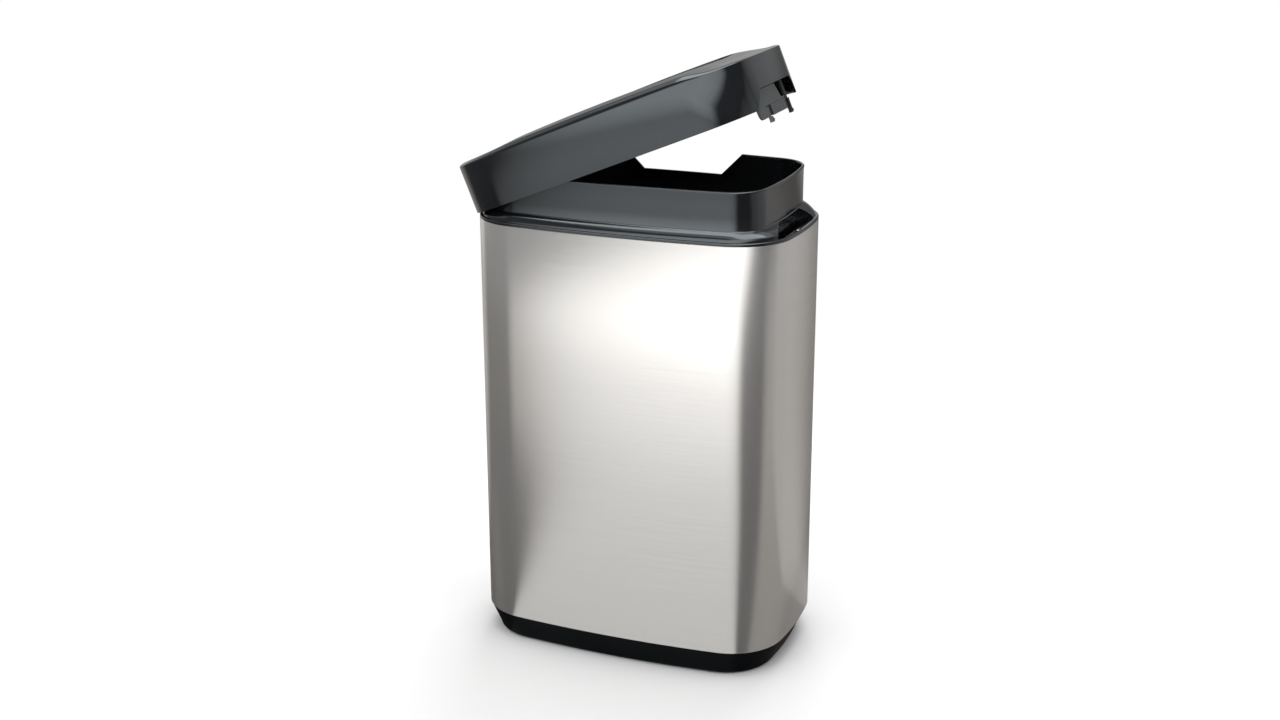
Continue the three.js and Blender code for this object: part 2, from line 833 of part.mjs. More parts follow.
function makeCollar() {
  let collar = collarShell();
  collar = collar.subtract(rearNotch());
  collar = collar.add(pocketTray()).subtract(pocketSpace()).add(strikeBosses());
  const pilot = strikeTop - strikeScrewLength - strikeThickness;
  collar = collar.subtract(strikeHoles(pilot));
  for (const side of [-1, 1]) {
    const holes = hingePocketSpace(side).add(hingePinHole(side));
    collar = collar.add(hingePocketBlock(side)).subtract(holes);
  }
  collar = collar.subtract(seamSlot(sleeveTop - skirtDepth - cutOverrun, sleeveTop));
  return collar.subtract(backScrewHoles(collarScrewHeight));
}

// Strike plate across the pocket. Its slots let the prongs and their hooks through while
// the slider is pushed, and its edge holds the hooks when the slider has sprung back.
function makeStrikePlate() {
  const low = strikeTop - strikeThickness;
  const fit = skirtInset + skirtWall + fitGap;
  const strip = box(sliderX - strikeReach, binWidth / 2, -binDepth / 2, binDepth / 2, low, strikeTop);
  const room = extrude(pocketShape(-fitGap), 'z', low - cutOverrun, strikeTop + cutOverrun);
  const inside = binOutline.prism(fit, low - cutOverrun, strikeTop + cutOverrun);
  let plate = strip.intersect(room).intersect(inside);
  const play = 2 * fitGap;
  for (const y of prongPlaces) {
    plate = plate.subtract(box(
      sliderX - play,
      sliderX + prongDepth + play,
      y - sliderTravel - play,
      y + prongWidth + play,
      low - cutOverrun,
      strikeTop + cutOverrun,
    ));
  }
  return plate.subtract(strikeHoles(low - cutOverrun));
}

function makeStrikeScrews() {
  const seat = strikeTop + fitGap;
  return strikeScrewPlaces().map(([x, y]) => {
    return screwAt([0, 0, 1], [x, y, seat], strikeScrewHeadRadius, strikeScrewLength);
  });
}

// Crown of the cover over x, as a share of its full rise
function crownShare(x) {
  return 1 - ((x - crownShift) / (binWidth / 2)) ** 2;
}

// Height function of a ring that takes part of the crown
function crowned(height, share) {
  return (x) => height + share * crownRise * crownShare(x);
}

// Height function of a level of the rounded edge, from the skirt (0) to the top (1)
function edgeLevel(share, wall) {
  return (x) => edgeLine + (edgeRise - wall + crownEdgeShare * crownRise * crownShare(x)) * share;
}

// Cover: skirt, rounded edge and crowned top round the opening, which ends in a chute
function coverShell() {
  const outerEdge = [];
  const innerEdge = [];
  for (let i = 0; i <= roundSteps; i += 1) {
    const angle = Math.PI / 2 * i / roundSteps;
    const run = 1 - Math.cos(angle);
    const rise = Math.sin(angle);
    outerEdge.push(binOutline.ring(edgeRun * run, edgeLevel(rise, 0)));
    innerEdge.push(binOutline.ring(coverWall + (edgeRun - coverWall) * run, edgeLevel(rise, coverWall)));
  }
  const edgeRing = binOutline.ring(edgeRun, 0);
  const openingRing = openingOutline.ring(-chuteEdge, 0);
  const chuteRing = openingOutline.ring(-chuteWall, 0);
  const middleShare = crownEdgeShare + (1 - crownEdgeShare) * rimMiddleShare;
  const rings = [
    binOutline.ring(0, coverBottom),
    ...outerEdge,
    ringBetween(edgeRing, openingRing, rimMiddleShare, crowned(openingTop, middleShare)),
    openingOutline.ring(-chuteEdge, crowned(openingTop, 1)),
    openingOutline.ring(0, crowned(openingTop - chuteEdge, 1)),
    openingOutline.ring(0, crowned(openingTop - chuteDepth, 1)),
    openingOutline.ring(-chuteWall, crowned(openingTop - chuteDepth, 1)),
    openingOutline.ring(-chuteWall, crowned(openingTop - coverWall, 1)),
    ringBetween(edgeRing, chuteRing, rimMiddleShare, crowned(openingTop - coverWall, middleShare)),
    ...innerEdge.reverse(),
    binOutline.ring(coverWall, coverBottom),
  ];
  return loft(rings, false);
}

// Cut in the left wall's lower edge, so that it clears the rim when the cover turns up
function hingeRelief() {
  const half = reliefWidth / 2;
  const low = coverBottom - cutOverrun;
  const high = coverBottom + reliefHeight;
  const spread = reliefSlope * (reliefHeight + cutOverrun) / reliefHeight;
  const shape = polygon([[-half - spread, low], [half + spread, low], [half, high], [-half, high]]);
  return extrude(shape, 'x', -binWidth / 2 - cutOverrun, hingeX);
}

// Finger window in the right wall, wider towards the skirt's lower edge and open there
function latchWindow() {
  const top = windowTopWidth / 2;
  const slope = (windowBottomWidth - windowTopWidth) / 2 / windowHeight;
  const bottom = windowBottomWidth / 2 + slope * cutOverrun;
  const side = top + slope * windowCorner;
  const low = coverBottom - cutOverrun;
  const high = coverBottom + windowHeight;
  const shape = polygon([
    [-bottom, low],
    [bottom, low],
    [side, high - windowCorner],
    [top - windowCorner, high],
    [windowCorner - top, high],
    [-side, high - windowCorner],
  ]);
  return extrude(shape, 'x', guideFaceX, binWidth / 2 + cutOverrun);
}

// Hinge arms: gooseneck from the pin, round the collar's rim, to a plate on the left wall
const armPlateX = armPlateGap - binWidth / 2 + coverWall;
const armPlateLow = hingeZ + neckHeight - neckWall;

function armScrewPlaces(side) {
  const y = side * hingeSpacing / 2;
  return [armScrewLow, armScrewHigh].map((height) => [y, armPlateLow + height]);
}

function armBosses() {
  const solids = [-1, 1].flatMap((side) => armScrewPlaces(side).map((place) => {
    return bar('x', bossRadius, -binWidth / 2 + coverWall / 2, armPlateX - fitGap, place, holeSides);
  }));
  return joinAll(solids).intersect(binOutline.prism(coverWall / 2, coverBottom, edgeLine));
}

function armScrewHoles(from, to) {
  const radius = screwShankRadius + fitGap;
  const solids = [-1, 1].flatMap((side) => armScrewPlaces(side).map((place) => {
    return bar('x', radius, from, to, place, screwSides);
  }));
  return joinAll(solids);
}

function neckShape() {
  const shape = new THREE.Shape();
  const right = hingeX + neckReach;
  const left = armPlateX;
  const low = hingeZ - neckBarrel;
  const top = hingeZ + neckHeight;
  const innerRight = right - neckWall;
  const innerTop = top - neckWall;
  const outerBend = neckWall + neckBarrel / 2;
  const innerBend = neckBarrel / 2;
  shape.moveTo(hingeX, low);
  shape.lineTo(right - outerBend, low);
  shape.quadraticCurveTo(right, low, right, low + outerBend);
  shape.lineTo(right, top - outerBend);
  shape.quadraticCurveTo(right, top, right - outerBend, top);
  shape.lineTo(left, top);
  shape.lineTo(left, innerTop);
  shape.lineTo(innerRight - innerBend, innerTop);
  shape.quadraticCurveTo(innerRight, innerTop, innerRight, innerTop - innerBend);
  shape.lineTo(innerRight, hingeZ + innerBend);
  shape.quadraticCurveTo(innerRight, hingeZ, innerRight - innerBend, hingeZ);
  shape.lineTo(hingeX, hingeZ);
  return shape;
}

function makeHingeArm(side) {
  const middle = side * hingeSpacing / 2;
  const from = middle - neckWidth / 2;
  const to = middle + neckWidth / 2;
  const barrel = bar('y', neckBarrel, from, to, [hingeX, hingeZ], holeSides);
  const neck = extrude(neckShape(), 'y', from, to);
  const plateTop = armPlateLow + armPlateHeight;
  const plate = box(armPlateX, armPlateX + armPlateWall, from, to, armPlateLow, plateTop);
  const arm = barrel.add(neck).add(plate).subtract(hingePinHole(side));
  return arm.subtract(armScrewHoles(armPlateX - cutOverrun, armPlateX + armPlateWall + cutOverrun));
}

function makeArmScrews(side) {
  const seat = armPlateX + armPlateWall + fitGap;
  return armScrewPlaces(side).map(([y, z]) => {
    return screwAt([1, 0, 0], [seat, y, z], screwHeadRadius, screwLength);
  });
}

// Latch guide: plate inside the right wall, with a flange that is screwed under the top
function guideScrewPlaces() {
  return [-1, 1].map((side) => [guideFaceX + guideFlange / 2, side * guideScrewSpacing / 2]);
}

function guideBosses() {
  const low = coverBottom + guideTop + fitGap;
  const high = edgeLevel(1, coverWall / 2)(guideX);
  return joinAll(guideScrewPlaces().map((place) => bar('z', bossRadius, low, high, place, holeSides)));
}

function guideScrewHoles(low, high) {
  const radius = screwShankRadius + fitGap;
  return joinAll(guideScrewPlaces().map((place) => bar('z', radius, low, high, place, screwSides)));
}

function latchScrewPlaces() {
  return [[-slotFront, coverBottom + slotHeight], [slotRear, coverBottom + slotHeight]];
}

const springTop = coverBottom + springHeight + springRadius + springTabWall;

function makeLatchGuide() {
  const low = coverBottom + guideBottom;
  const high = coverBottom + guideTop;
  const flangeLow = high - guideWall;
  const railLow = coverBottom + railTop + 2 * fitGap;
  const postRear = -springPostFront;
  const solids = [
    box(guideX, guideFaceX, -guideFront, guideRear, low, high),
    box(guideX, guideFaceX + guideFlange, -guideRear, guideRear, flangeLow, high),
    box(guideX, sliderFaceX, postRear - springTabWall, postRear, railLow, springTop),
  ];
  for (const place of latchScrewPlaces()) {
    solids.push(bar('x', bossRadius, guideX, sliderX - fitGap, place, holeSides));
  }
  const radius = screwShankRadius + fitGap;
  const pilots = latchScrewPlaces().map((place) => {
    return bar('x', radius, guideX - cutOverrun, sliderX, place, screwSides);
  });
  return joinAll(solids)
    .intersect(binOutline.prism(coverWall + fitGap, coverBottom, edgeLine))
    .subtract(joinAll(pilots))
    .subtract(guideScrewHoles(flangeLow - cutOverrun, high + cutOverrun));
}

function makeGuideScrews() {
  const seat = coverBottom + guideTop - guideWall - fitGap;
  return guideScrewPlaces().map(([x, y]) => {
    return screwAt([0, 0, -1], [x, y, seat], screwHeadRadius, screwLength);
  });
}

// Thumb plate in the window. Its front lower corner is a round tongue, which finds the
// pocket as the cover comes down.
function thumbShape() {
  const shape = new THREE.Shape();
  const low = coverBottom + thumbBottom;
  const high = coverBottom + railBottom;
  const tongueLow = coverBottom - tongueDrop;
  const middle = -(thumbFront + tongueRear) / 2;
  shape.moveTo(-thumbFront, high);
  shape.lineTo(-thumbFront, coverBottom);
  shape.quadraticCurveTo(-thumbFront, tongueLow, middle, tongueLow);
  shape.quadraticCurveTo(-tongueRear, tongueLow, -tongueRear, coverBottom);
  shape.lineTo(-tongueRear, low);
  shape.lineTo(thumbRearBottom, low);
  shape.lineTo(thumbRearTop, high);
  return shape;
}

function hookShape(y) {
  const low = coverBottom - prongDrop;
  return polygon([
    [y, low],
    [y + prongWidth, low],
    [y + prongWidth + hookLength, low + hookHeight / 2],
    [y + prongWidth + hookLength, low + hookHeight],
    [y + prongWidth, low + hookHeight],
    [y + prongWidth, coverBottom],
    [y, coverBottom],
  ]);
}

// Latch slider: rail behind the wall, thumb plate, and a bar with two hooked prongs
function makeLatchSlider() {
  const railLow = coverBottom + railBottom;
  const railHigh = coverBottom + railTop;
  const barLow = coverBottom - barDrop;
  const armFront = barRear - sliderArmWidth;
  const tabFront = -springTabFront;
  const solids = [
    extrude(thumbShape(), 'x', sliderX, sliderFaceX),
    box(sliderX, sliderFaceX, -thumbFront, railRear, railLow, railHigh),
    box(sliderX, sliderFaceX, -barFront, barRear, barLow, coverBottom + barTop),
    box(sliderX, sliderFaceX, armFront, barRear, barLow, railHigh),
    box(sliderX, sliderFaceX, tabFront, tabFront + springTabWall, railLow, springTop),
    ...prongPlaces.map((y) => extrude(hookShape(y), 'x', sliderX, sliderX + prongDepth)),
  ];
  let slider = joinAll(solids);
  const radius = latchScrewDiameter / 2 + fitGap;
  const from = sliderX - cutOverrun;
  const to = sliderFaceX + cutOverrun;
  for (const [y, z] of latchScrewPlaces()) {
    slider = slider.subtract(bar('x', radius, from, to, [y, z], holeSides));
    slider = slider.subtract(bar('x', radius, from, to, [y + sliderTravel, z], holeSides));
    slider = slider.subtract(box(from, to, y, y + sliderTravel, z - radius, z + radius));
  }
  const room = binOutline.prism(rimWidth + 2 * fitGap, barLow - prongDrop, springTop + cutOverrun);
  return slider.intersect(room.translate([0, sliderTravel, 0]));
}

// Shouldered screws that the slider's slots run on
function makeLatchScrews() {
  const headX = sliderFaceX + fitGap;
  return latchScrewPlaces().map((place) => {
    const shoulder = bar('x', latchScrewDiameter / 2, sliderX, headX, place, screwSides);
    const head = bar('x', screwHeadRadius, headX, headX + latchScrewHead, place, screwSides);
    const shank = bar('x', screwShankRadius, guideX, sliderX, place, screwSides);
    return joinAll([shoulder, head, shank]);
  });
}

function makeLatchSpring() {
  const from = -springPostFront + fitGap + springWire / 2;
  const to = -springTabFront - fitGap - springWire / 2;
  const x = (sliderX + sliderFaceX) / 2;
  const z = coverBottom + springHeight;
  const points = coilPoints(to - from, springTurnCount, (along, angle) => new THREE.Vector3(
    x + springRadius * Math.sin(angle),
    from + along,
    z + springRadius * Math.cos(angle),
  ));
  return wire('latch_spring', points, springWire);
}

// Hinge block of the flap, hung under the cover's rear rim
const bracketFront = openingDepth / 2 + chuteWall + fitGap;
const bracketRear = bracketFront + bracketDepth;
const bracketReach = bracketWidth / 2 + bracketFlange;
const bracketTop = edgeLevel(1, coverWall)(-bracketReach) - fitGap;
const flangeTop = bracketTop - bracketFlangeDrop;
const earInnerX = flapLugSpacing / 2 + flapLugWall + 2 * fitGap;

function bracketScrewPlaces() {
  const x = (bracketWidth + bracketFlange) / 2;
  const y = bracketFront + bracketFlange / 2;
  return [[-x, y], [x, y]];
}

function bracketScrewHoles(low, high) {
  const radius = screwShankRadius + fitGap;
  return joinAll(bracketScrewPlaces().map((place) => bar('z', radius, low, high, place, screwSides)));
}

function bracketBosses() {
  const low = flangeTop + fitGap;
  const high = bracketTop + coverWall;
  return joinAll(bracketScrewPlaces().map((place) => bar('z', bossRadius, low, high, place, holeSides)));
}

function bracketEar(side) {
  const x0 = side > 0 ? earInnerX : -earInnerX - bracketEarWall;
  const rear = bracketFront + bracketRibWall;
  const knuckle = bar('x', flapLugRadius, x0, x0 + bracketEarWall, [flapAxisY, flapAxisZ], holeSides);
  const arm = polygon([
    [flapAxisY, flapAxisZ - flapLugRadius],
    [rear, flapAxisZ - 2 * flapLugRadius],
    [rear, flapAxisZ],
    [flapAxisY, flapAxisZ],
  ]);
  return knuckle.add(extrude(arm, 'x', x0, x0 + bracketEarWall));
}

function makeFlapBracket() {
  const half = bracketWidth / 2;
  const low = bracketTop - bracketHeight;
  const profile = polygon([
    [bracketFront, low],
    [bracketRear, low],
    [bracketRear, bracketTop - bracketChamfer],
    [bracketRear - bracketChamfer, bracketTop],
    [bracketFront, bracketTop],
  ]);
  let block = extrude(profile, 'x', -half, half);
  const cell = (bracketWidth - (bracketCellCount + 1) * bracketRibWall) / bracketCellCount;
  const cellTop = bracketTop - bracketChamfer - bracketFlangeWall;
  for (let i = 0; i < bracketCellCount; i += 1) {
    const x = bracketRibWall - half + i * (cell + bracketRibWall);
    const front = bracketFront + bracketRibWall;
    const rear = bracketRear - bracketRibWall;
    block = block.subtract(box(x, x + cell, front, rear, low - cutOverrun, cellTop));
  }
  const flange = box(
    -bracketReach,
    bracketReach,
    bracketFront,
    bracketFront + bracketFlange,
    flangeTop - bracketFlangeWall,
    flangeTop,
  );
  const holeRadius = flapPinDiameter / 2 + fitGap;
  const holeReach = earInnerX + bracketEarWall + cutOverrun;
  const hole = bar('x', holeRadius, -holeReach, holeReach, [flapAxisY, flapAxisZ], holeSides);
  const screwHoles = bracketScrewHoles(flangeTop - bracketFlangeWall - cutOverrun, flangeTop + cutOverrun);
  return joinAll([block, flange, bracketEar(-1), bracketEar(1)]).subtract(hole).subtract(screwHoles);
}

function makeBracketScrews() {
  const seat = flangeTop - bracketFlangeWall - fitGap;
  return bracketScrewPlaces().map(([x, y]) => {
    return screwAt([0, 0, -1], [x, y, seat], screwHeadRadius, screwLength);
  });
}

function makeFlapPin() {
  const reach = earInnerX + bracketEarWall + fitGap;
  return bar('x', flapPinDiameter / 2, -reach, reach, [flapAxisY, flapAxisZ], holeSides);
}

// Flap: domed top with a short skirt, and two lugs on the pin
function flapShell() {
  const top = openingOutline.ring(flapGap + flapEdgeRound, 0);
  const under = openingOutline.ring(flapGap + flapSkirtWall, 0);
  const dome = (ring, low) => flapDomeShares.map((share) => {
    return ringScaled(ring, 1 - share, crowned(low + flapDome * (1 - (1 - share) ** 2), 1));
  });
  const rings = [
    ...dome(top, openingTop).reverse(),
    openingOutline.ring(flapGap, crowned(openingTop - flapEdgeRound, 1)),
    openingOutline.ring(flapGap, crowned(openingTop - flapSkirt, 1)),
    openingOutline.ring(flapGap + flapSkirtWall, crowned(openingTop - flapSkirt, 1)),
    ...dome(under, openingTop - flapWall),
  ];
  return loft(rings, true);
}

function flapLug(side) {
  const x0 = side > 0 ? flapLugSpacing / 2 : -flapLugSpacing / 2 - flapLugWall;
  const lugTop = openingTop + crownRise * crownShare(x0) - flapWall / 2;
  const shape = polygon([
    [flapAxisY - 2 * flapLugRadius, lugTop],
    [flapAxisY - flapLugRadius, flapAxisZ],
    [flapAxisY + flapLugRadius, flapAxisZ],
    [flapAxisY + flapLugRadius, lugTop],
  ]);
  const knuckle = bar('x', flapLugRadius, x0, x0 + flapLugWall, [flapAxisY, flapAxisZ], holeSides);
  return knuckle.add(extrude(shape, 'x', x0, x0 + flapLugWall));
}

function makeFlap() {
  const radius = flapPinDiameter / 2 + fitGap;
  const reach = flapLugSpacing / 2 + flapLugWall + cutOverrun;
  const hole = bar('x', radius, -reach, reach, [flapAxisY, flapAxisZ], holeSides);
  return joinAll([flapShell(), flapLug(-1), flapLug(1)]).subtract(hole);
}

// Torsion spring on the flap's pin, beside a lug, with a leg that bears under the flap
function makeFlapSpring(name, side) {
  const length = torsionTurnCount * torsionPitch;
  const start = flapLugSpacing / 2 - fitGap - torsionWire / 2 - length;
  const points = coilPoints(length, torsionTurnCount, (along, angle) => new THREE.Vector3(
    side * (start + along),
    flapAxisY + torsionRadius * Math.sin(angle),
    flapAxisZ + torsionRadius * Math.cos(angle),
  ));
  const x = side * start;
  const under = openingTop - flapWall + crownRise * crownShare(x) - fitGap - torsionWire / 2;
  const leg = new THREE.Vector3(x, flapAxisY - torsionLeg, under);
  return wire(name, [leg, ...points], torsionWire);
}

function makeCover() {
  const cover = joinAll([coverShell(), armBosses(), guideBosses(), bracketBosses()]);
  const slotReach = bracketWidth / 2 + 2 * fitGap;
  const slotFrontY = openingDepth / 2 - openingFaceBow;
  const slotLow = openingTop - chuteDepth - cutOverrun;
  const chuteSlot = box(-slotReach, slotReach, slotFrontY, bracketFront, slotLow, bracketTop + fitGap);
  const armHoleFrom = armPlateX + armPlateWall - screwLength;
  const guideHoleTop = coverBottom + guideTop - guideWall + screwLength;
  const bracketHoleTop = flangeTop - bracketFlangeWall + screwLength;
  return cover
    .subtract(hingeRelief())
    .subtract(latchWindow())
    .subtract(chuteSlot)
    .subtract(armScrewHoles(armHoleFrom, armPlateX))
    .subtract(guideScrewHoles(coverBottom + guideTop, guideHoleTop))
    .subtract(bracketScrewHoles(flangeTop, bracketHoleTop));
}

function makeFoot([x, y]) {
  return bar('z', footDiameter / 2, 0, footThickness, [x, y], holeSides);
}

// Puts a finished solid into the scene graph under its name
function addPiece(parent, name, solid, material) {
  const mesh = solid.getMesh();
  const geometry = new THREE.BufferGeometry();
  geometry.setAttribute('position', new THREE.BufferAttribute(new Float32Array(mesh.vertProperties), 3));
  geometry.setIndex(new THREE.BufferAttribute(new Uint32Array(mesh.triVerts), 1));
  const piece = new THREE.Mesh(geometry, material);
  piece.name = name;
  parent.add(piece);
}

// The same for a row of like pieces, one name for each
function addPieces(parent, names, solids, material) {
  solids.forEach((solid, i) => addPiece(parent, names[i], solid, material));
}

const bin = new THREE.Group();
addPiece(bin, 'base_tub', makeBase(), mattBlack());
addPiece(bin, 'steel_sleeve', makeSleeve(), brushedSteel());
addPiece(bin, 'collar', makeCollar(), glossBlack());
addPiece(bin, 'strike_plate', makeStrikePlate(), zincSteel());
addPieces(bin, ['strike_screw_front', 'strike_screw_rear'], makeStrikeScrews(), zincSteel());
addPieces(bin, ['collar_screw_left', 'collar_screw_right'], backScrews(collarScrewHeight), zincSteel());
addPieces(bin, ['base_screw_left', 'base_screw_right'], backScrews(baseScrewHeight), zincSteel());
addPiece(bin, 'hinge_pin_front', makeHingePin(-1), zincSteel());
addPiece(bin, 'hinge_pin_rear', makeHingePin(1), zincSteel());
const footNames = ['foot_front_left', 'foot_front_right', 'foot_rear_left', 'foot_rear_right'];
addPieces(bin, footNames, footPlaces().map(makeFoot), softRubber());

// Everything on the cover is made as it lies when closed, and turned up about the pins
const coverTurn = new THREE.Group();
coverTurn.position.set(hingeX, 0, hingeZ);
coverTurn.rotation.y = -THREE.MathUtils.degToRad(coverOpenDeg);
const coverGroup = new THREE.Group();
coverGroup.position.set(-hingeX, 0, -hingeZ);
coverTurn.add(coverGroup);
bin.add(coverTurn);
addPiece(coverGroup, 'cover_shell', makeCover(), glossBlack());
for (const [side, end] of [[-1, 'front'], [1, 'rear']]) {
  addPiece(coverGroup, 'hinge_arm_' + end, makeHingeArm(side), innerBlack());
  const names = ['hinge_arm_screw_' + end + '_low', 'hinge_arm_screw_' + end + '_high'];
  addPieces(coverGroup, names, makeArmScrews(side), zincSteel());
}
addPiece(coverGroup, 'latch_guide', makeLatchGuide(), innerBlack());
const guideScrewNames = ['latch_guide_screw_front', 'latch_guide_screw_rear'];
addPieces(coverGroup, guideScrewNames, makeGuideScrews(), zincSteel());
addPiece(coverGroup, 'latch_slider', makeLatchSlider(), innerBlack());
addPieces(coverGroup, ['latch_screw_front', 'latch_screw_rear'], makeLatchScrews(), zincSteel());
addPiece(coverGroup, 'latch_spring', makeLatchSpring(), springSteel());
addPiece(coverGroup, 'flap_bracket', makeFlapBracket(), innerBlack());
const bracketScrewNames = ['flap_bracket_screw_left', 'flap_bracket_screw_right'];
addPieces(coverGroup, bracketScrewNames, makeBracketScrews(), zincSteel());
addPiece(coverGroup, 'flap_pin', makeFlapPin(), zincSteel());
addPiece(coverGroup, 'flap', makeFlap(), glossBlack());
for (const [name, side] of [['flap_spring_left', -1], ['flap_spring_right', 1]]) {
  addPiece(coverGroup, name, makeFlapSpring(name, side), springSteel());
}

export default bin;
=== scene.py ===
from math import acos, atan2, cos, pi, radians, sin, sqrt

import bmesh
import bpy
import numpy as np
from mathutils import Matrix, Vector


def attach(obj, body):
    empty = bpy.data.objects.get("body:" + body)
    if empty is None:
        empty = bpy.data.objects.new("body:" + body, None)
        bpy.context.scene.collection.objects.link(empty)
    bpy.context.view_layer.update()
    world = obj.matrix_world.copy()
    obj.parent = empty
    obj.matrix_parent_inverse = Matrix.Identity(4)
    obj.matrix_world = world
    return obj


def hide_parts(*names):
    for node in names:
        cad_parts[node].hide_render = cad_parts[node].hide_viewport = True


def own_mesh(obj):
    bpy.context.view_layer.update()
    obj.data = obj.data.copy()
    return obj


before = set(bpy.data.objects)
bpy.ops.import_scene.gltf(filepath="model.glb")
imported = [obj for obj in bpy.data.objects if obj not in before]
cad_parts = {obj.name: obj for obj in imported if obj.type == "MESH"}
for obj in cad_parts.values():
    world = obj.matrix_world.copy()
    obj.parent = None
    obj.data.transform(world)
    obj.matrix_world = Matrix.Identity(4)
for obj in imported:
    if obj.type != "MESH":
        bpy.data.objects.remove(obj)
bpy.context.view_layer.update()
scene = bpy.context.scene

# Lengths are in millimetres, in the part's own frame, and become metres when a mesh is made.
MM = 0.001
# Air between pieces, the least step between two faces, and a short and a long overrun of cuts and joints
GAP, HAIR, OVER, PAST = 0.3, 0.06, 1, 3

# Plan outline, sleeve and base
BIN_WIDTH, BIN_DEPTH, CORNER_RADIUS, FACE_BOW, END_BOW = 390, 238, 68, 14, 14
END_X = BIN_WIDTH / 2
PLINTH_HEIGHT, SLEEVE_TOP, SLEEVE_WALL, SHEET_EDGE, SHEET_EDGE_RISE = 32, 528, 1, 0.25, 0.3
SEAM_WIDTH, SEAM_FOLD, SEAM_LINE, SEAM_DEPTH, SEAM_CRISP = 9, 1.5, 1, 0.5, 0.08
FOOT_INSET, FOOT_RADIUS, END_TAPER, PLINTH_WALL, STAND_RISE, STAND_WALL = 6.5, 7, 6, 3, 20, 2.5
SEAT_DROP = 0.05
# Inset and drop below the sleeve of the plinth's rounded top edge
PLINTH_EDGE = ((1.9, 3.6), (1.5, 2.4), (0.6, 0.4), (1.0, SEAT_DROP))

# Collar
RIM_HEIGHT, RIM_WIDTH, RIM_ROUND = 3.5, 3.4, 1.5
SHOULDER_HEIGHT, SHOULDER_WALL, COLLAR_HEIGHT, COLLAR_WALL = 15, 3, 59, 2.5
COLLAR_TOP = SLEEVE_TOP + COLLAR_HEIGHT
END_INSET, FRONT_INSET, REAR_INSET = 23.5, 10.5, 4.5
COLLAR_RADIUS, COLLAR_BOW, COLLAR_END_BOW = 43, 10.5, 11
LIP_RADIUS, LIP_OVERHANG, SKIRT_DEPTH, SKIRT_WALL, THROAT_DEPTH = 1.8, 0.7, 26, 2, 26
SKIRT_INSET = SLEEVE_WALL + GAP
NOTCH_TOP, NOTCH_BOTTOM, NOTCH_DEPTH, NOTCH_OVER = 156, 102, 27, 4.8

# Latch pocket in the collar: its ends next to the collar's wall and farther out, and where its sides turn
WALL_X = END_X - END_INSET
POCKET_DEPTH, POCKET_HEIGHT, POCKET_REACH, POCKET_WALL, WALL_BITE = 22, 14, 6, 2.5, 0.01
POCKET_FRONT_IN, POCKET_FRONT_OUT, POCKET_REAR_IN, POCKET_REAR_OUT = -33, -72, 44.5, 43.5
POCKET_SLANT_FROM, POCKET_SLANT_TO, POCKET_REAR_TURN = WALL_X + 0.5, WALL_X + 11.5, WALL_X + 11

# Hinge, with its room in the collar and the ears round it
HINGE_X, HINGE_Z, HINGE_SPACING, OPEN_DEG = -183.5, 524.3, 85.68, 22.4
HINGE_ROOM_REACH, HINGE_ROOM_HALF, HINGE_ROOM_DROP, HINGE_ROOM_TOP = 10.5, 15, 7, 16.7
EAR_X, EAR_WALL = -169, 3

# Cover
COVER_BOTTOM, COVER_SKIRT, COVER_WALL, EDGE_RUN, EDGE_RISE = 532.3, 57, 2.5, 9, 6
# Inset and rise of the skirt's rounded lower edge
COVER_FOOT = ((0.5, 0), (0.15, 0.15), (0, 0.5))
CROWN_RISE, CROWN_SHIFT, CROWN_EDGE = 5.6, 40, 0.5
DROOP_RIGHT, DROOP_RIGHT_FROM, DROOP_RIGHT_RUN = 4.6, 125, 45
DROOP_LEFT, DROOP_LEFT_FROM, DROOP_LEFT_RUN = 1.5, -80, 60
EDGE_LINE = COVER_BOTTOM + COVER_SKIRT
OPENING_TOP = EDGE_LINE + EDGE_RISE
OPENING_WIDTH, OPENING_DEPTH, OPENING_SHIFT, OPENING_RADIUS, OPENING_BOW = 256, 186, 10, 36, 7
CHUTE_DEPTH, CHUTE_WALL, CHUTE_EDGE = 13, 2.2, 1
CHUTE_SLOT_HALF, CHUTE_SLOT_FRONT, CHUTE_SLOT_REAR, CHUTE_SLOT_DROP = 46.6, 86, 95.5, 16
WINDOW_TOP, WINDOW_BOTTOM, WINDOW_HEIGHT, WINDOW_CORNER = 52, 70, 22, 3
WINDOW_ROUND_RUN, WINDOW_ROUND_RISE = 1.6, 2.2
RELIEF_HALF, RELIEF_HEIGHT, RELIEF_SPREAD = 75, 5, 4

# Flap
FLAP_AXIS_Y, FLAP_AXIS_Z = 82, 588.4
FLAP_GAP, FLAP_WALL, FLAP_SKIRT, FLAP_SKIRT_WALL, FLAP_EDGE = 1.5, 2.5, 9, 2.2, 1
FLAP_DOME, FLAP_DROP, DOME_SHARES = 0.6, 3.0, (0, 0.08, 0.2, 0.35, 0.5, 0.65, 0.8, 0.97)
# Room that is cut from the skirt at its low rear corner, which turns into the chute's wall: x, y and z
FLAP_TRIM = (-140, -60, 58, 100, 570, FLAP_AXIS_Z + 1.4)
LUG_INNER_X, LUG_WALL, LUG_HEEL, LUG_RADIUS, LUG_BORE, LUG_STEPS = 24, 5, 10, 5, 2.3, 16

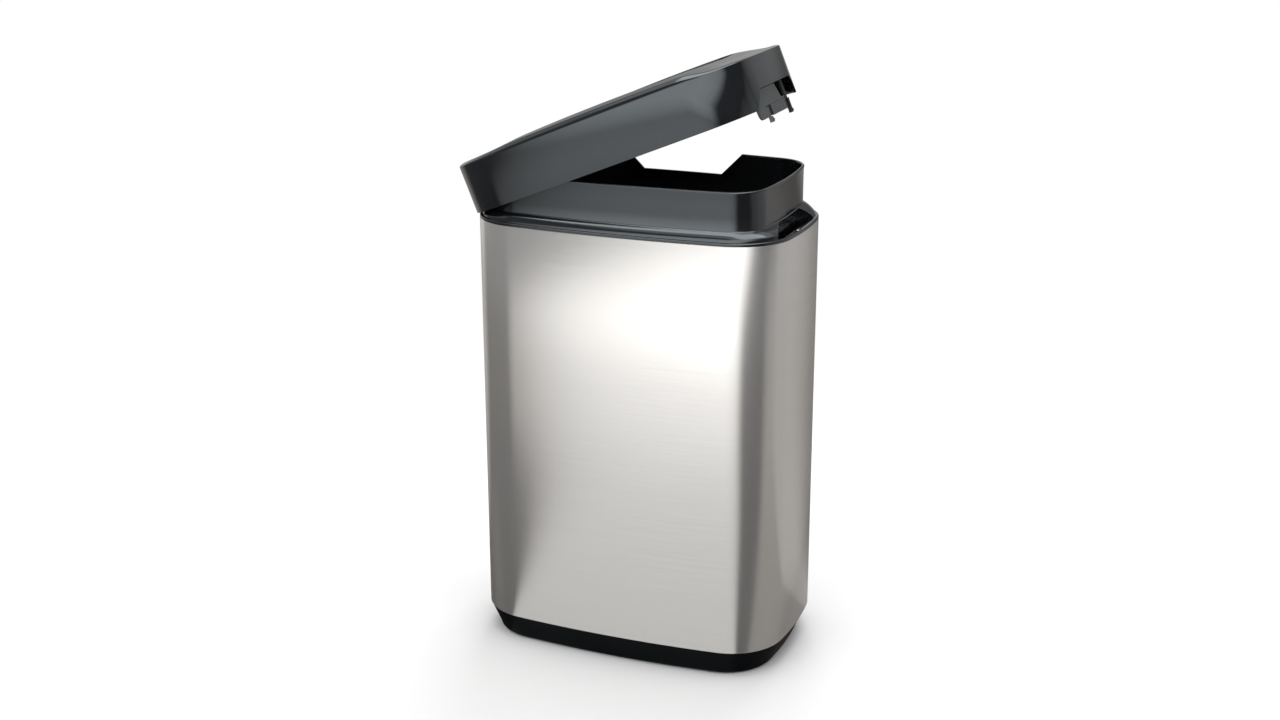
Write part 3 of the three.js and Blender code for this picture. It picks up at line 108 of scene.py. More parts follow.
# Latch: thumb plate, foot with the round tongue, prongs, rail, arm and the tab that the spring bears on
GUIDE_FACE_X, SLIDER_X = 182, 183.5
LATCH_WALL, LATCH_TRAVEL, LATCH_SCREW_RADIUS, HEAD_RADIUS = 2.5, 4, 2.3, 3.5
THUMB_FRONT, THUMB_REAR_TOP, THUMB_REAR_BOTTOM, THUMB_LOW, THUMB_TOP = -64.5, 11, 22, 1, 23
THUMB_SLOPE = (THUMB_REAR_BOTTOM - THUMB_REAR_TOP) / (THUMB_TOP - THUMB_LOW)
FOOT_DROP, FOOT_TOP, FOOT_REAR, FOOT_ROUND, FOOT_STEP = 12, 3, 40, 9, 0.5
PRONGS, PRONG_WIDTH, PRONG_DEPTH, PRONG_DROP, HOOK_LENGTH, HOOK_HEIGHT = (-34.5, 35.5), 4.5, 4, 18.5, 2.5, 4
RAIL_TOP, RAIL_REAR, ARM_FRONT, LATCH_SCREW_HEIGHT, LATCH_SCREW_Y = 33, 48, 34, 28, (-50, 36)
BACKING, THUMB_GAP, PRONG_GAP = 0.7, 2.5, 10
GROOVE_DEPTH, GROOVE_REACH, GROOVE_LOW, SLOT_STEPS = 1.2, 8, 0.2, 32

# Springs
SPRING_FRONT, SPRING_REAR, SPRING_HEIGHT, SPRING_RADIUS = -50, -20, 38, 2.1
SPRING_WIRE, SPRING_TURNS, CLOSE_PITCH, COIL_STEPS = 0.9, 9, 1.15, 28
TORSION_RADIUS, TORSION_WIRE, TORSION_PITCH, TORSION_TURNS, TORSION_LEG = 2.9, 1.2, 1.7, 4, 12
TORSION_START = LUG_INNER_X - GAP - TORSION_WIRE / 2 - TORSION_TURNS * TORSION_PITCH

# Where screws sit, and the bosses that they run into
BOSS_RADIUS = 4
ARM_SEAT_X, ARM_HEIGHTS, ARM_FLANGE = -184.6, (21.9, 34.9), 3.1
GUIDE_SCREW_X, GUIDE_Y, GUIDE_SEAT, GUIDE_FLANGE, GUIDE_BOSS_RISE = GUIDE_FACE_X + 4.5, 42, 584.5, 3.1, 0.6
BRACKET_X, BRACKET_Y, BRACKET_SEAT, BRACKET_FLANGE, BRACKET_BOSS_RISE = 53, 102.5, 588.27, 3.6, 1.5
STRIKE_SCREW_X, STRIKE_SCREW_Y, STRIKE_SEAT, STRIKE_BOSS_DROP = SLIDER_X - 6, (-20, 22), 519.8, 10
BACK_X, BACK_INSET = 60, 13

# Screws. Sizes of the crown, rim and recess are shares of the head.
SCREW_LENGTH, SCREW_HEAD, SCREW_SHANK, SCREW_THREAD, THREAD_PITCH = 6, 2.2, 1.7, 0.25, 0.8
STRIKE_HEAD_RADIUS, STRIKE_SCREW_LENGTH = 3, 7
TIP_RADIUS, TIP_SHOULDER, TIP_RISE, THREAD_START = 0.3, 0.9, 0.8, 1.4
CROWN_PULL, HEAD_RIM, RECESS_REACH, RECESS_HALF, RECESS_FLOOR = 0.42, 0.35, 0.55, 0.11, 0.4
LATCH_HEAD, LATCH_HEAD_EDGE, LATCH_SHOULDER, DRIVE_HALF, DRIVE_DEPTH = 1.2, 0.3, 2, 0.35, 0.5

FACE_STEPS, CORNER_STEPS, END_STEPS, ROUND_STEPS, TOP_STEPS, EDGE_STEPS = 40, 22, 20, 8, 8, 4


# Meshes

def sweep(stop, steps, start=0.0):
    """Angles from start to stop in even steps, with both ends."""
    return [start + (stop - start) * i / steps for i in range(steps + 1)]


def quarter_round(steps=ROUND_STEPS):
    """Run and rise of a quarter round that starts straight up."""
    return [(1 - cos(t), sin(t)) for t in sweep(pi / 2, steps)]


class Outline:
    """Bulged faces and ends with round corners. Each point has its normal, so insets follow it."""

    def __init__(self, width, depth, bow, end_bow, radius, shift_x=0.0, shift_y=0.0, rear_x=()):
        self.face_radius = ((width / 2) ** 2 + bow ** 2) / (2 * bow)
        end_radius = ((depth / 2) ** 2 + end_bow ** 2) / (2 * end_bow)
        face = Vector((0, self.face_radius - depth / 2))
        end = Vector((width / 2 - end_radius, 0))
        face_reach, end_reach = self.face_radius - radius, end_radius - radius
        along = end - face
        gap = along.length
        along.normalize()
        reach = (face_reach ** 2 - end_reach ** 2 + gap ** 2) / (2 * gap)
        off = sqrt(max(face_reach ** 2 - reach ** 2, 0))
        side = Vector((-along.y, along.x))
        corner = max((face + along * reach + side * s * off for s in (1, -1)), key=lambda p: p.x)
        from_face = atan2(corner.y - face.y, corner.x - face.x)
        from_end = atan2(corner.y - end.y, corner.x - end.x)
        extra = [acos((x - shift_x) / self.face_radius) for x in rear_x]
        points, normals = [], []
        for half, sign, more in ((0, 1, []), (pi, -1, extra)):
            for x, y, r, start, stop, steps, added in (
                (face.x, face.y, self.face_radius, -pi - from_face, from_face, FACE_STEPS, more),
                (corner.x, corner.y, radius, from_face, from_end, CORNER_STEPS, []),
                (end.x, end.y, end_radius, from_end, -from_end, END_STEPS, []),
                (corner.x, -corner.y, radius, -from_end, -from_face, CORNER_STEPS, []),
            ):
                turns = sweep(half + stop, steps, half + start)[:-1] + added
                for turn in sorted(turns, reverse=stop < start):
                    normals.append((cos(turn), sin(turn)))
                    points.append((sign * x + shift_x + r * cos(turn), sign * y + shift_y + r * sin(turn)))
        self.points, self.normals = np.array(points), np.array(normals)

    def ring(self, inset, height):
        """inset is a number or a function of the points and normals, and height one of the points."""
        base = self.points
        inset = inset(base, self.normals) if callable(inset) else inset
        return at_height(base - self.normals * np.full(len(base), inset)[:, None], height)

    def rings(self, places):
        """Rings at pairs of inset and height."""
        return [self.ring(inset, height) for inset, height in places]


def at_height(flat, height):
    z = height(flat) if callable(height) else height
    return np.column_stack([flat, np.full(len(flat), z)])


def between(ring_a, ring_b, share, height):
    return at_height(ring_a[:, :2] * (1 - share) + ring_b[:, :2] * share, height)


def new_object(name, data):
    obj = bpy.data.objects.new(name, data)
    scene.collection.objects.link(obj)
    return obj


def loft(name, rings, ends="joined"):
    """Skin over rings of points. Its first and last ring are joined to each other, capped or left open."""
    bm = bmesh.new()
    rows = [[bm.verts.new(Vector(p) * MM) for p in ring] for ring in rings]
    for a, b in zip(rows, rows[1:] + rows[:1] if ends == "joined" else rows[1:]):
        for j in range(len(a)):
            k = (j + 1) % len(a)
            bm.faces.new((a[j], a[k], b[k], b[j]))
    if ends == "capped":
        bm.faces.new(rows[0])
        bm.faces.new(rows[-1])
    bmesh.ops.recalc_face_normals(bm, faces=bm.faces)
    mesh = bpy.data.meshes.new(name)
    bm.to_mesh(mesh)
    bm.free()
    return new_object(name, mesh)


def extrude(name, points, axis, low, high):
    """Solid along an axis, from points across it in the order (y, z), (x, z) or (x, y)."""
    at = "xyz".index(axis)
    return loft(name, [[(*p[:at], w, *p[at:]) for p in points] for w in (low, high)], "capped")


def block(name, x0, x1, y0, y1, z0, z1):
    return extrude(name, [(x0, y0), (x1, y0), (x1, y1), (x0, y1)], "z", z0, z1)


def prism(outline, inset, low, high):
    return loft("prism", outline.rings([(inset, low), (inset, high)]), "capped")


def trapezoid(half_low, half_high, low, high):
    return [(-half_low, low), (half_low, low), (half_high, high), (-half_high, high)]


def circle(radius, centre=(0, 0), sides=40):
    turns = sweep(2 * pi, sides)[:-1]
    return [(centre[0] + radius * cos(t), centre[1] + radius * sin(t)) for t in turns]


def level_circle(radius, height, sides):
    return [(x, y, height) for x, y in circle(radius, sides=sides)]


def lathe(name, profile, sides=32):
    """Turned solid about Z from (radius, height) pairs."""
    return loft(name, [level_circle(radius, height, sides) for radius, height in profile], "capped")


def wire(name, points, thickness, sides=12):
    """Round wire along a row of points."""
    points = [Vector(p) for p in points]
    across, rings = None, []
    for i, point in enumerate(points):
        along = (points[min(i + 1, len(points) - 1)] - points[max(i - 1, 0)]).normalized()
        if across is None:
            across = Vector((0, 0, 1)).cross(along)
        across = (across - along * across.dot(along)).normalized()
        up = along.cross(across)
        rings.append([point + across * u + up * v for u, v in circle(thickness / 2, sides=sides)])
    return loft(name, rings, "capped")


def corner_cut(points, rounds=2):
    """Rounds a profile off by cutting a quarter off both ends of each line, with its own ends kept."""
    for _ in range(rounds):
        cut = [points[0]]
        for (a, b), (c, d) in zip(points, points[1:]):
            cut += [(a * (1 - s) + c * s, b * (1 - s) + d * s) for s in (0.25, 0.75)]
        points = cut + [points[-1]]
    return points


def combine(obj, tool, operation="DIFFERENCE"):
    """obj with tool cut out of it, joined to it or kept of it."""
    modifier = obj.modifiers.new("combine", "BOOLEAN")
    modifier.object, modifier.operation, modifier.solver = tool, operation, "EXACT"
    settled = obj.evaluated_get(bpy.context.evaluated_depsgraph_get())
    mesh = bpy.data.meshes.new_from_object(settled)
    obj.modifiers.clear()
    obj.data = mesh
    bpy.data.objects.remove(tool)
    return obj


def add_boss(obj, x, y, low, high):
    combine(obj, extrude("boss", circle(BOSS_RADIUS, (x, y)), "z", low, high), "UNION")


def join_meshes(obj, *others):
    """Closed bodies of one moulding, kept in one mesh."""
    bm = bmesh.new()
    bm.from_mesh(obj.data)
    for other in others:
        bm.from_mesh(other.data)
        bpy.data.objects.remove(other)
    bm.to_mesh(obj.data)
    bm.free()
    return obj


def turned_open(obj):
    """Turns a piece that was made as it lies when shut up about the hinge pins."""
    pins = Vector((HINGE_X, 0, HINGE_Z)) * MM
    turn = Matrix.Rotation(-radians(OPEN_DEG), 4, "Y")
    obj.data.transform(Matrix.Translation(pins) @ turn @ Matrix.Translation(-pins))
    return obj


def round_edges(obj, edge, segments, angle):
    bevel = obj.modifiers.new("edge", "BEVEL")
    bevel.width, bevel.segments = edge * MM, segments
    bevel.limit_method, bevel.angle_limit = "ANGLE", radians(angle)
    bevel.use_clamp_overlap = True
    bevel.harden_normals = True


def smooth(obj, angle=32, edge=0.0, segments=2):
    """Smooth shading with crisp edges, and a small round on each crisp edge."""
    obj.data.shade_smooth()
    obj.data.set_sharp_from_angle(angle=radians(angle))
    if edge:
        round_edges(obj, edge, segments, angle)
    return obj


# Materials

WHITE = (1, 1, 1, 1)
COOL_GLOSS = (0.87, 0.96, 1.0, 1)
DARK_STEEL, LIGHT_STEEL, STEEL_ROUGHNESS = (0.672, 0.657, 0.640), (0.730, 0.715, 0.698), (0.23, 0.27)


def nodes_for(name):
    material = bpy.data.materials.new(name)
    material.use_nodes = True
    tree = material.node_tree
    return material, tree, tree.nodes["Principled BSDF"]


def feed(tree, node, inputs):
    """Sets a node's inputs, given by name or number, to values or to the outputs of other nodes."""
    for key, value in inputs.items():
        if isinstance(value, bpy.types.NodeSocket):
            tree.links.new(value, node.inputs[key])
        else:
            node.inputs[key].default_value = value


def add(tree, kind, inputs=(), **settings):
    """A new node of a kind of shader node, with its inputs and settings."""
    node = tree.nodes.new("ShaderNode" + kind)
    for key, value in settings.items():
        setattr(node, key, value)
    feed(tree, node, dict(inputs))
    return node


def number(tree, operation, *values, **settings):
    """Result of a sum on sockets and numbers."""
    return add(tree, "Math", enumerate(values), operation=operation, **settings).outputs["Value"]


def vector(tree, operation, *values):
    """Result of a sum on vectors: a number for LENGTH, or else a vector."""
    outputs = add(tree, "VectorMath", enumerate(values), operation=operation).outputs
    return outputs["Value" if operation == "LENGTH" else "Vector"]


def noise(tree, scale, stretch=(1, 1, 1), detail=3.0, rough=0.55):
    """Noise in the object's own coordinates, drawn out along an axis where stretch is small."""
    coords = add(tree, "TexCoord").outputs["Object"]
    mapping = add(tree, "Mapping", {"Vector": coords, "Scale": stretch})
    return add(tree, "TexNoise", {
        "Vector": mapping.outputs["Vector"], "Scale": scale, "Detail": detail, "Roughness": rough,
    }).outputs["Fac"]


def ramp(tree, fac, low, high, start=0.3, stop=0.7):
    """Maps fac, between start and stop, onto a range of values or colours."""
    if isinstance(low, tuple):
        node = add(tree, "ValToRGB", {"Fac": fac})
        for element, position, colour in zip(node.color_ramp.elements, (start, stop), (low, high)):
            element.position, element.color = position, (*colour, 1)
        return node.outputs["Color"]
    return add(tree, "MapRange", {
        "Value": fac, "From Min": start, "From Max": stop, "To Min": low, "To Max": high,
    }).outputs["Result"]


def blend(tree, share, low, high):
    """The value low where share is 0 and high where it is 1."""
    return add(tree, "Mix", {"Factor": share, "A": low, "B": high}, data_type="FLOAT").outputs["Result"]


def bump(tree, shader, height, strength, distance):
    node = add(tree, "Bump", {"Strength": strength, "Distance": distance * MM, "Height": height})
    feed(tree, shader, {"Normal": node.outputs["Normal"]})


def gloss_plastic(name, dark, light, roughness, gloss=1.0):
    """Moulded black plastic: faint patches of shade, wiping marks in its gloss and shallow sink waves."""
    material, tree, shader = nodes_for(name)
    patches = noise(tree, scale=9.0, detail=4.0)
    marks = noise(tree, scale=60.0, stretch=(1, 1, 0.25), detail=6.0)
    bump(tree, shader, noise(tree, scale=24.0, detail=2.0), strength=0.05, distance=0.25)
    feed(tree, shader, {
        "Base Color": ramp(tree, patches, dark, light), "Roughness": ramp(tree, marks, *roughness),
        "Specular IOR Level": gloss, "Specular Tint": COOL_GLOSS,
    })
    return material


def matt_plastic(name, dark, light, roughness, grain, strength, gloss=0.3):
    """Grained black plastic or rubber."""
    material, tree, shader = nodes_for(name)
    fine = noise(tree, scale=grain, detail=5.0)
    patches = noise(tree, scale=14.0, detail=4.0)
    bump(tree, shader, fine, strength, distance=0.15)
    feed(tree, shader, {
        "Base Color": ramp(tree, patches, dark, light), "Roughness": ramp(tree, fine, *roughness),
        "Specular IOR Level": gloss,
    })
    return material


def brushed_steel(name):
    """Stainless sheet, brushed level round the wrap, with a few longer scratches."""
    material, tree, shader = nodes_for(name)
    lines = noise(tree, scale=1.0, stretch=(7, 7, 1700), detail=4.0, rough=0.7)
    fine = noise(tree, scale=1.0, stretch=(20, 20, 4200), detail=2.0)
    both = number(tree, "MULTIPLY_ADD", fine, 0.5, lines)
    cloud = noise(tree, scale=5.0, stretch=(1, 1, 1.6), detail=3.0)
    relief = number(tree, "MULTIPLY_ADD", cloud, 0.3, both)
    tangent = add(tree, "Tangent", direction_type="RADIAL", axis="Z")
    bump(tree, shader, relief, strength=0.006, distance=0.1)
    feed(tree, shader, {
        "Base Color": ramp(tree, both, DARK_STEEL, LIGHT_STEEL, start=0.5, stop=1.0),
        "Roughness": ramp(tree, both, *STEEL_ROUGHNESS, start=0.5, stop=1.0),
        "Metallic": 0.84, "Anisotropic": 0.72, "Anisotropic Rotation": 0.25,
        "Tangent": tangent.outputs["Tangent"],
    })
    return material


def plated_steel(name, dark, light, roughness):
    """Zinc-plated or drawn steel with a faint cloudiness."""
    material, tree, shader = nodes_for(name)
    cloud = noise(tree, scale=420.0, detail=4.0)
    bump(tree, shader, noise(tree, scale=1500.0, detail=2.0), strength=0.08, distance=0.05)
    feed(tree, shader, {
        "Base Color": ramp(tree, cloud, dark, light), "Roughness": ramp(tree, cloud, *roughness),
        "Metallic": 1.0,
    })
    return material


COVER_BLACK = gloss_plastic(
    "cover_plastic", (0.0055, 0.0062, 0.0080), (0.0085, 0.0094, 0.0115), roughness=(0.06, 0.11))
COLLAR_BLACK = gloss_plastic(
    "collar_plastic", (0.0060, 0.0068, 0.0088), (0.0090, 0.0100, 0.0125), roughness=(0.10, 0.16))
LATCH_BLACK = gloss_plastic(
    "latch_plastic", (0.026, 0.029, 0.031), (0.034, 0.038, 0.040), roughness=(0.18, 0.26), gloss=0.9)
FLAP_BLACK = gloss_plastic(
    "flap_plastic", (0.0090, 0.0100, 0.0120), (0.0130, 0.0142, 0.0165), roughness=(0.20, 0.28), gloss=0.6)
BASE_BLACK = matt_plastic(
    "base_plastic", (0.0015, 0.0025, 0.0029), (0.0032, 0.0045, 0.0051), roughness=(0.42, 0.58),
    grain=900.0, strength=0.35, gloss=0.04)
# Matt black of the inner parts. On the latch slider's back it also stands for painted shade.
INNER_AND_SHADE_BLACK = matt_plastic(
    "inner_plastic", (0.008, 0.009, 0.010), (0.013, 0.014, 0.016), roughness=(0.32, 0.44),
    grain=600.0, strength=0.2)
RUBBER = matt_plastic(
    "foot_rubber", (0.010, 0.010, 0.010), (0.018, 0.018, 0.018), roughness=(0.75, 0.9),
    grain=500.0, strength=0.5)
STEEL = brushed_steel("brushed_steel")
ZINC = plated_steel("zinc_steel", (0.50, 0.51, 0.52), (0.62, 0.63, 0.64), roughness=(0.26, 0.40))
SPRING_STEEL = plated_steel("spring_steel", (0.40, 0.41, 0.42), (0.54, 0.55, 0.56), roughness=(0.20, 0.32))


def paint(obj, material):
    obj.data.materials.clear()
    obj.data.materials.append(material)


def piece(obj, body, material, slot, *nodes):
    """Gives a finished piece its material and its place on a body, and hides the nodes it stands for."""
    paint(obj, material)
    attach(obj, body)
    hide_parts(*nodes)
    return obj


def dress(names, material, edge=0.35):
    """Carried-over solids get their material and softened edges."""
    for name in names:
        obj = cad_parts[name]
        paint(obj, material)
        weld = obj.modifiers.new("weld", "WELD")
        weld.merge_threshold = 0.02 * MM
        round_edges(obj, edge, segments=2, angle=40)


# Camera. Its fit to the photograph is in metres, and its shifts are shares of the picture's width.

CAMERA_AZIMUTH, CAMERA_ELEVATION, CAMERA_DISTANCE = radians(21.774), radians(17.603), 2.139686
CAMERA_TARGET = Vector((0.001464, 0, 0.352622))
CAMERA_SENSOR, CAMERA_LENS, CAMERA_SHIFT_X, CAMERA_SHIFT_Y = 36, 49.53, -0.00789, -0.00271

away = Vector((
    sin(CAMERA_AZIMUTH) * cos(CAMERA_ELEVATION),
    -cos(CAMERA_AZIMUTH) * cos(CAMERA_ELEVATION),
    sin(CAMERA_ELEVATION),
))
camera_data = bpy.data.cameras.new("camera")
camera_data.sensor_width, camera_data.lens = CAMERA_SENSOR, CAMERA_LENS
camera_data.shift_x, camera_data.shift_y = CAMERA_SHIFT_X, CAMERA_SHIFT_Y
camera = new_object("camera", camera_data)
camera.location = CAMERA_TARGET + away * CAMERA_DISTANCE
camera.rotation_euler = (-away).to_track_quat("-Z", "Y").to_euler()
scene.camera = camera

# Outlines

BIN_FORM = (BIN_DEPTH, FACE_BOW, END_BOW, CORNER_RADIUS)
line_half, seam_half = SEAM_LINE / 2, SEAM_WIDTH / 2
seam_bends = (line_half - SEAM_CRISP, line_half, seam_half, seam_half + SEAM_CRISP)
bin_plan = Outline(BIN_WIDTH, *BIN_FORM)
sleeve_plan = Outline(BIN_WIDTH, *BIN_FORM, rear_x=[side * x for side in (-1, 1) for x in seam_bends])
# The plinth draws in towards the floor, and more so at its two ends.
foot_plan = Outline(BIN_WIDTH - 2 * END_TAPER, *BIN_FORM)
collar_plan = Outline(
    BIN_WIDTH - 2 * END_INSET, BIN_DEPTH - FRONT_INSET - REAR_INSET, COLLAR_BOW, COLLAR_END_BOW,
    COLLAR_RADIUS, shift_y=(FRONT_INSET - REAR_INSET) / 2)
opening_plan = Outline(
    OPENING_WIDTH, OPENING_DEPTH, OPENING_BOW, OPENING_BOW, OPENING_RADIUS, shift_x=OPENING_SHIFT)


# Sleeve

def seam_inset(at_line, at_fold, elsewhere, more=0.0):
    """Inset of a face of the sleeve: at the seam's line, at its fold, and elsewhere."""
    def inset(points, normals):
        x = np.where(normals[:, 1] > 0, np.abs(points[:, 0]), BIN_WIDTH)
        steps = [x < line_half - SEAM_CRISP / 2, x < seam_half + SEAM_CRISP / 2]
        return np.select(steps, [at_line, at_fold], elsewhere) + more
    return inset


folded = SLEEVE_WALL + SEAM_FOLD
outer_face, outer_edge = seam_inset(SEAM_DEPTH, 0, 0), seam_inset(SEAM_DEPTH, 0, 0, SHEET_EDGE)
inner_face = seam_inset(folded, folded, SLEEVE_WALL)
sleeve = loft("sleeve", sleeve_plan.rings([
    (outer_edge, PLINTH_HEIGHT), (outer_face, PLINTH_HEIGHT + SHEET_EDGE_RISE),
    (outer_face, SLEEVE_TOP - SHEET_EDGE_RISE), (outer_edge, SLEEVE_TOP),
    (inner_face, SLEEVE_TOP), (inner_face, PLINTH_HEIGHT),
]))
piece(smooth(sleeve, angle=40), "bin_body", STEEL, "brushed_steel", "steel_sleeve")


# Base

def foot_rings(inset, low, radius):
    """Round foot, from its face down to its sole."""
    return foot_plan.rings((inset + radius * x, low + radius * (1 - y)) for x, y in quarter_round())


stand_inner = SKIRT_INSET + STAND_WALL
base = loft("base", [
    *foot_rings(FOOT_INSET, 0, FOOT_RADIUS)[::-1],
    *bin_plan.rings((inset, PLINTH_HEIGHT - drop) for inset, drop in PLINTH_EDGE),
    *bin_plan.rings([
        (SKIRT_INSET, PLINTH_HEIGHT - SEAT_DROP), (SKIRT_INSET, PLINTH_HEIGHT + STAND_RISE),
        (stand_inner, PLINTH_HEIGHT + STAND_RISE), (stand_inner, PLINTH_HEIGHT - PLINTH_WALL),
    ]),
    *foot_rings(FOOT_INSET + PLINTH_WALL, PLINTH_WALL, FOOT_RADIUS - PLINTH_WALL),
], "capped")
piece(smooth(base), "bin_body", BASE_BLACK, "base_plastic", "base_tub")

# Collar

# Run and rise of the shoulder's profile, as shares, from the wall out to the rim
SHOULDER_SHARES = corner_cut([
    (0, 1), (0.03, 0.93), (0.09, 0.89), (0.3, 0.78), (0.5, 0.67), (0.7, 0.49), (0.88, 0.31),
    (0.96, 0.14), (1, 0),
])


def shoulder(drop, outer_inset):
    rise, foot_level = SHOULDER_HEIGHT - RIM_HEIGHT, SLEEVE_TOP + RIM_HEIGHT - drop
    wall, rim = collar_plan.ring(0, 0), bin_plan.ring(outer_inset, 0)
    return [between(wall, rim, s, foot_level + rise * r) for s, r in SHOULDER_SHARES]


def collar_solid():
    lip = [
        (radius - LIP_OVERHANG + LIP_RADIUS, COLLAR_TOP - LIP_RADIUS + height)
        for radius, height in circle(LIP_RADIUS, sides=4 * ROUND_STEPS)[:2 * ROUND_STEPS + 1]
    ]
    rim_top, skirt_inner = SLEEVE_TOP + RIM_HEIGHT, SKIRT_INSET + SKIRT_WALL
    lip_foot, throat = COLLAR_TOP - 2 * LIP_RADIUS, SLEEVE_TOP - THROAT_DEPTH
    skirt_foot = SLEEVE_TOP - SKIRT_DEPTH
    return loft("collar", [
        *collar_plan.rings([(COLLAR_WALL, throat), (COLLAR_WALL, lip_foot), *lip, (0, lip_foot)]),
        *shoulder(0, RIM_WIDTH),
        *bin_plan.rings((RIM_ROUND * (1 - y), rim_top - RIM_ROUND * x) for x, y in quarter_round()),
        *bin_plan.rings([
            (0, SLEEVE_TOP), (SKIRT_INSET, SLEEVE_TOP), (SKIRT_INSET, skirt_foot), (skirt_inner, skirt_foot),
        ]),
        *shoulder(SHOULDER_WALL, skirt_inner)[::-1],
        collar_plan.ring(0, throat),
    ])


def under_shoulder(low):
    """Room under the shoulder's skin, a hair inside it so that no two faces lie on each other."""
    inset = SKIRT_INSET + HAIR
    return loft("under_shoulder", [
        *bin_plan.rings([(inset, low), (inset, SLEEVE_TOP + RIM_HEIGHT - RIM_ROUND)]),
        *shoulder(HAIR, RIM_WIDTH + HAIR)[::-1],
    ], "capped")


def pocket_shape(grow):
    inner, outer = WALL_X - POCKET_REACH - grow, END_X + PAST
    front_in, front_out = POCKET_FRONT_IN - grow, POCKET_FRONT_OUT - grow
    rear_in, rear_out = POCKET_REAR_IN + grow, POCKET_REAR_OUT + grow
    return [
        (inner, front_in), (POCKET_SLANT_FROM, front_in), (POCKET_SLANT_TO, front_out), (outer, front_out),
        (outer, rear_out), (POCKET_REAR_TURN, rear_out), (WALL_X, rear_in), (inner, rear_in),
    ]


def add_pocket(collar):
    """Latch pocket: a tray joined to the collar, its room cut out, and the strike plate's bosses."""
    floor_level, roof = SLEEVE_TOP - POCKET_DEPTH, SLEEVE_TOP + POCKET_HEIGHT
    low, high = floor_level - POCKET_WALL, roof + POCKET_WALL
    for room in (under_shoulder(low - PAST), prism(collar_plan, WALL_BITE, low, high)):
        tray = extrude("tray", pocket_shape(POCKET_WALL), "z", low, high)
        combine(collar, combine(tray, room, "INTERSECT"), "UNION")
    for room in (
        prism(bin_plan, SKIRT_INSET + SKIRT_WALL, floor_level - PAST, SLEEVE_TOP),
        prism(bin_plan, RIM_WIDTH, SLEEVE_TOP - GAP, roof + PAST),
    ):
        space = extrude("space", pocket_shape(0), "z", floor_level, roof)
        combine(collar, combine(space, room, "INTERSECT"))
    for y in STRIKE_SCREW_Y:
        add_boss(collar, STRIKE_SCREW_X, y, floor_level - OVER, SLEEVE_TOP - STRIKE_BOSS_DROP)


def add_hinge_rooms(collar):
    """Ears joined under the shoulder, and in them the rooms that the hinge arms turn in."""
    low, top = HINGE_Z - HINGE_ROOM_DROP, SLEEVE_TOP + HINGE_ROOM_TOP
    half, ear_half, ear_low = HINGE_ROOM_HALF, HINGE_ROOM_HALF + EAR_WALL, low - EAR_WALL
    for side in (-1, 1):
        y = side * HINGE_SPACING / 2
        ear = block("ear", -END_X, EAR_X, y - ear_half, y + ear_half, ear_low, SLEEVE_TOP + SHOULDER_HEIGHT)
        combine(collar, combine(ear, under_shoulder(ear_low - PAST), "INTERSECT"), "UNION")
        space = block("space", -END_X, HINGE_X + HINGE_ROOM_REACH, y - half, y + half, low, top)
        combine(collar, combine(space, prism(bin_plan, RIM_WIDTH, ear_low, top + PAST), "INTERSECT"))


def make_collar():
    collar = collar_solid()
    slope = (NOTCH_TOP - NOTCH_BOTTOM) / 2 / NOTCH_DEPTH
    low, high = COLLAR_TOP - NOTCH_DEPTH, COLLAR_TOP + NOTCH_OVER
    notch = trapezoid(NOTCH_BOTTOM / 2, NOTCH_TOP / 2 + slope * NOTCH_OVER, low, high)
    combine(collar, extrude("notch", notch, "y", 0, BIN_DEPTH / 2))
    add_pocket(collar)
    add_hinge_rooms(collar)
    return collar


piece(smooth(make_collar(), angle=35, edge=0.4), "bin_body", COLLAR_BLACK, "collar_plastic", "collar")


# Cover

def crown_share(x):
    return 1 - ((x - CROWN_SHIFT) / END_X) ** 2


def eased(share):
    share = np.clip(share, 0, 1)
    return share * share * (3 - 2 * share)


def droop(x):
    """How far the top falls away towards its two ends."""
    right = DROOP_RIGHT * eased((x - DROOP_RIGHT_FROM) / DROOP_RIGHT_RUN)
    return right + DROOP_LEFT * eased((DROOP_LEFT_FROM - x) / DROOP_LEFT_RUN)


def crowned(height, share):
    return lambda points: height + share * CROWN_RISE * crown_share(points[:, 0]) - droop(points[:, 0])


def edge_level(share, wall):
    """Height of the rounded edge, which takes up the crown's share at the edge and the droop by degrees."""
    rim = crowned(EDGE_RISE - wall, CROWN_EDGE)
    return lambda points: EDGE_LINE + rim(points) * share


def mouth_round(inset, run, top):
    """Rounded edge of the opening or the flap. It starts at the inset, and its side lies run further in."""
    return opening_plan.rings(
        (inset + run * y, crowned(top - abs(run) * x, 1)) for x, y in quarter_round(EDGE_STEPS))


def top_rings(rim, level):
    """Rings of the top from its outer edge in to the opening's rim, up the crown."""
    edge, shares = bin_plan.ring(EDGE_RUN, 0), [i / TOP_STEPS for i in range(1, TOP_STEPS)]
    return [between(edge, rim, s, crowned(level, CROWN_EDGE + (1 - CROWN_EDGE) * s)) for s in shares]


def edge_rings(inset, wall):
    return bin_plan.rings((inset + (EDGE_RUN - inset) * x, edge_level(y, wall)) for x, y in quarter_round())


def cover_solid():
    chute_foot = crowned(OPENING_TOP - CHUTE_DEPTH, 1)
    return loft("cover", [
        *bin_plan.rings((inset, COVER_BOTTOM + rise) for inset, rise in COVER_FOOT),
        *edge_rings(0, 0),
        *top_rings(opening_plan.ring(-CHUTE_EDGE, 0), OPENING_TOP),
        *mouth_round(-CHUTE_EDGE, CHUTE_EDGE, OPENING_TOP),
        *opening_plan.rings([
            (0, chute_foot), (-CHUTE_WALL, chute_foot), (-CHUTE_WALL, crowned(OPENING_TOP - COVER_WALL, 1)),
        ]),
        *top_rings(opening_plan.ring(-CHUTE_WALL, 0), OPENING_TOP - COVER_WALL)[::-1],
        *edge_rings(COVER_WALL, COVER_WALL)[::-1],
        bin_plan.ring(COVER_WALL, COVER_BOTTOM),
    ])


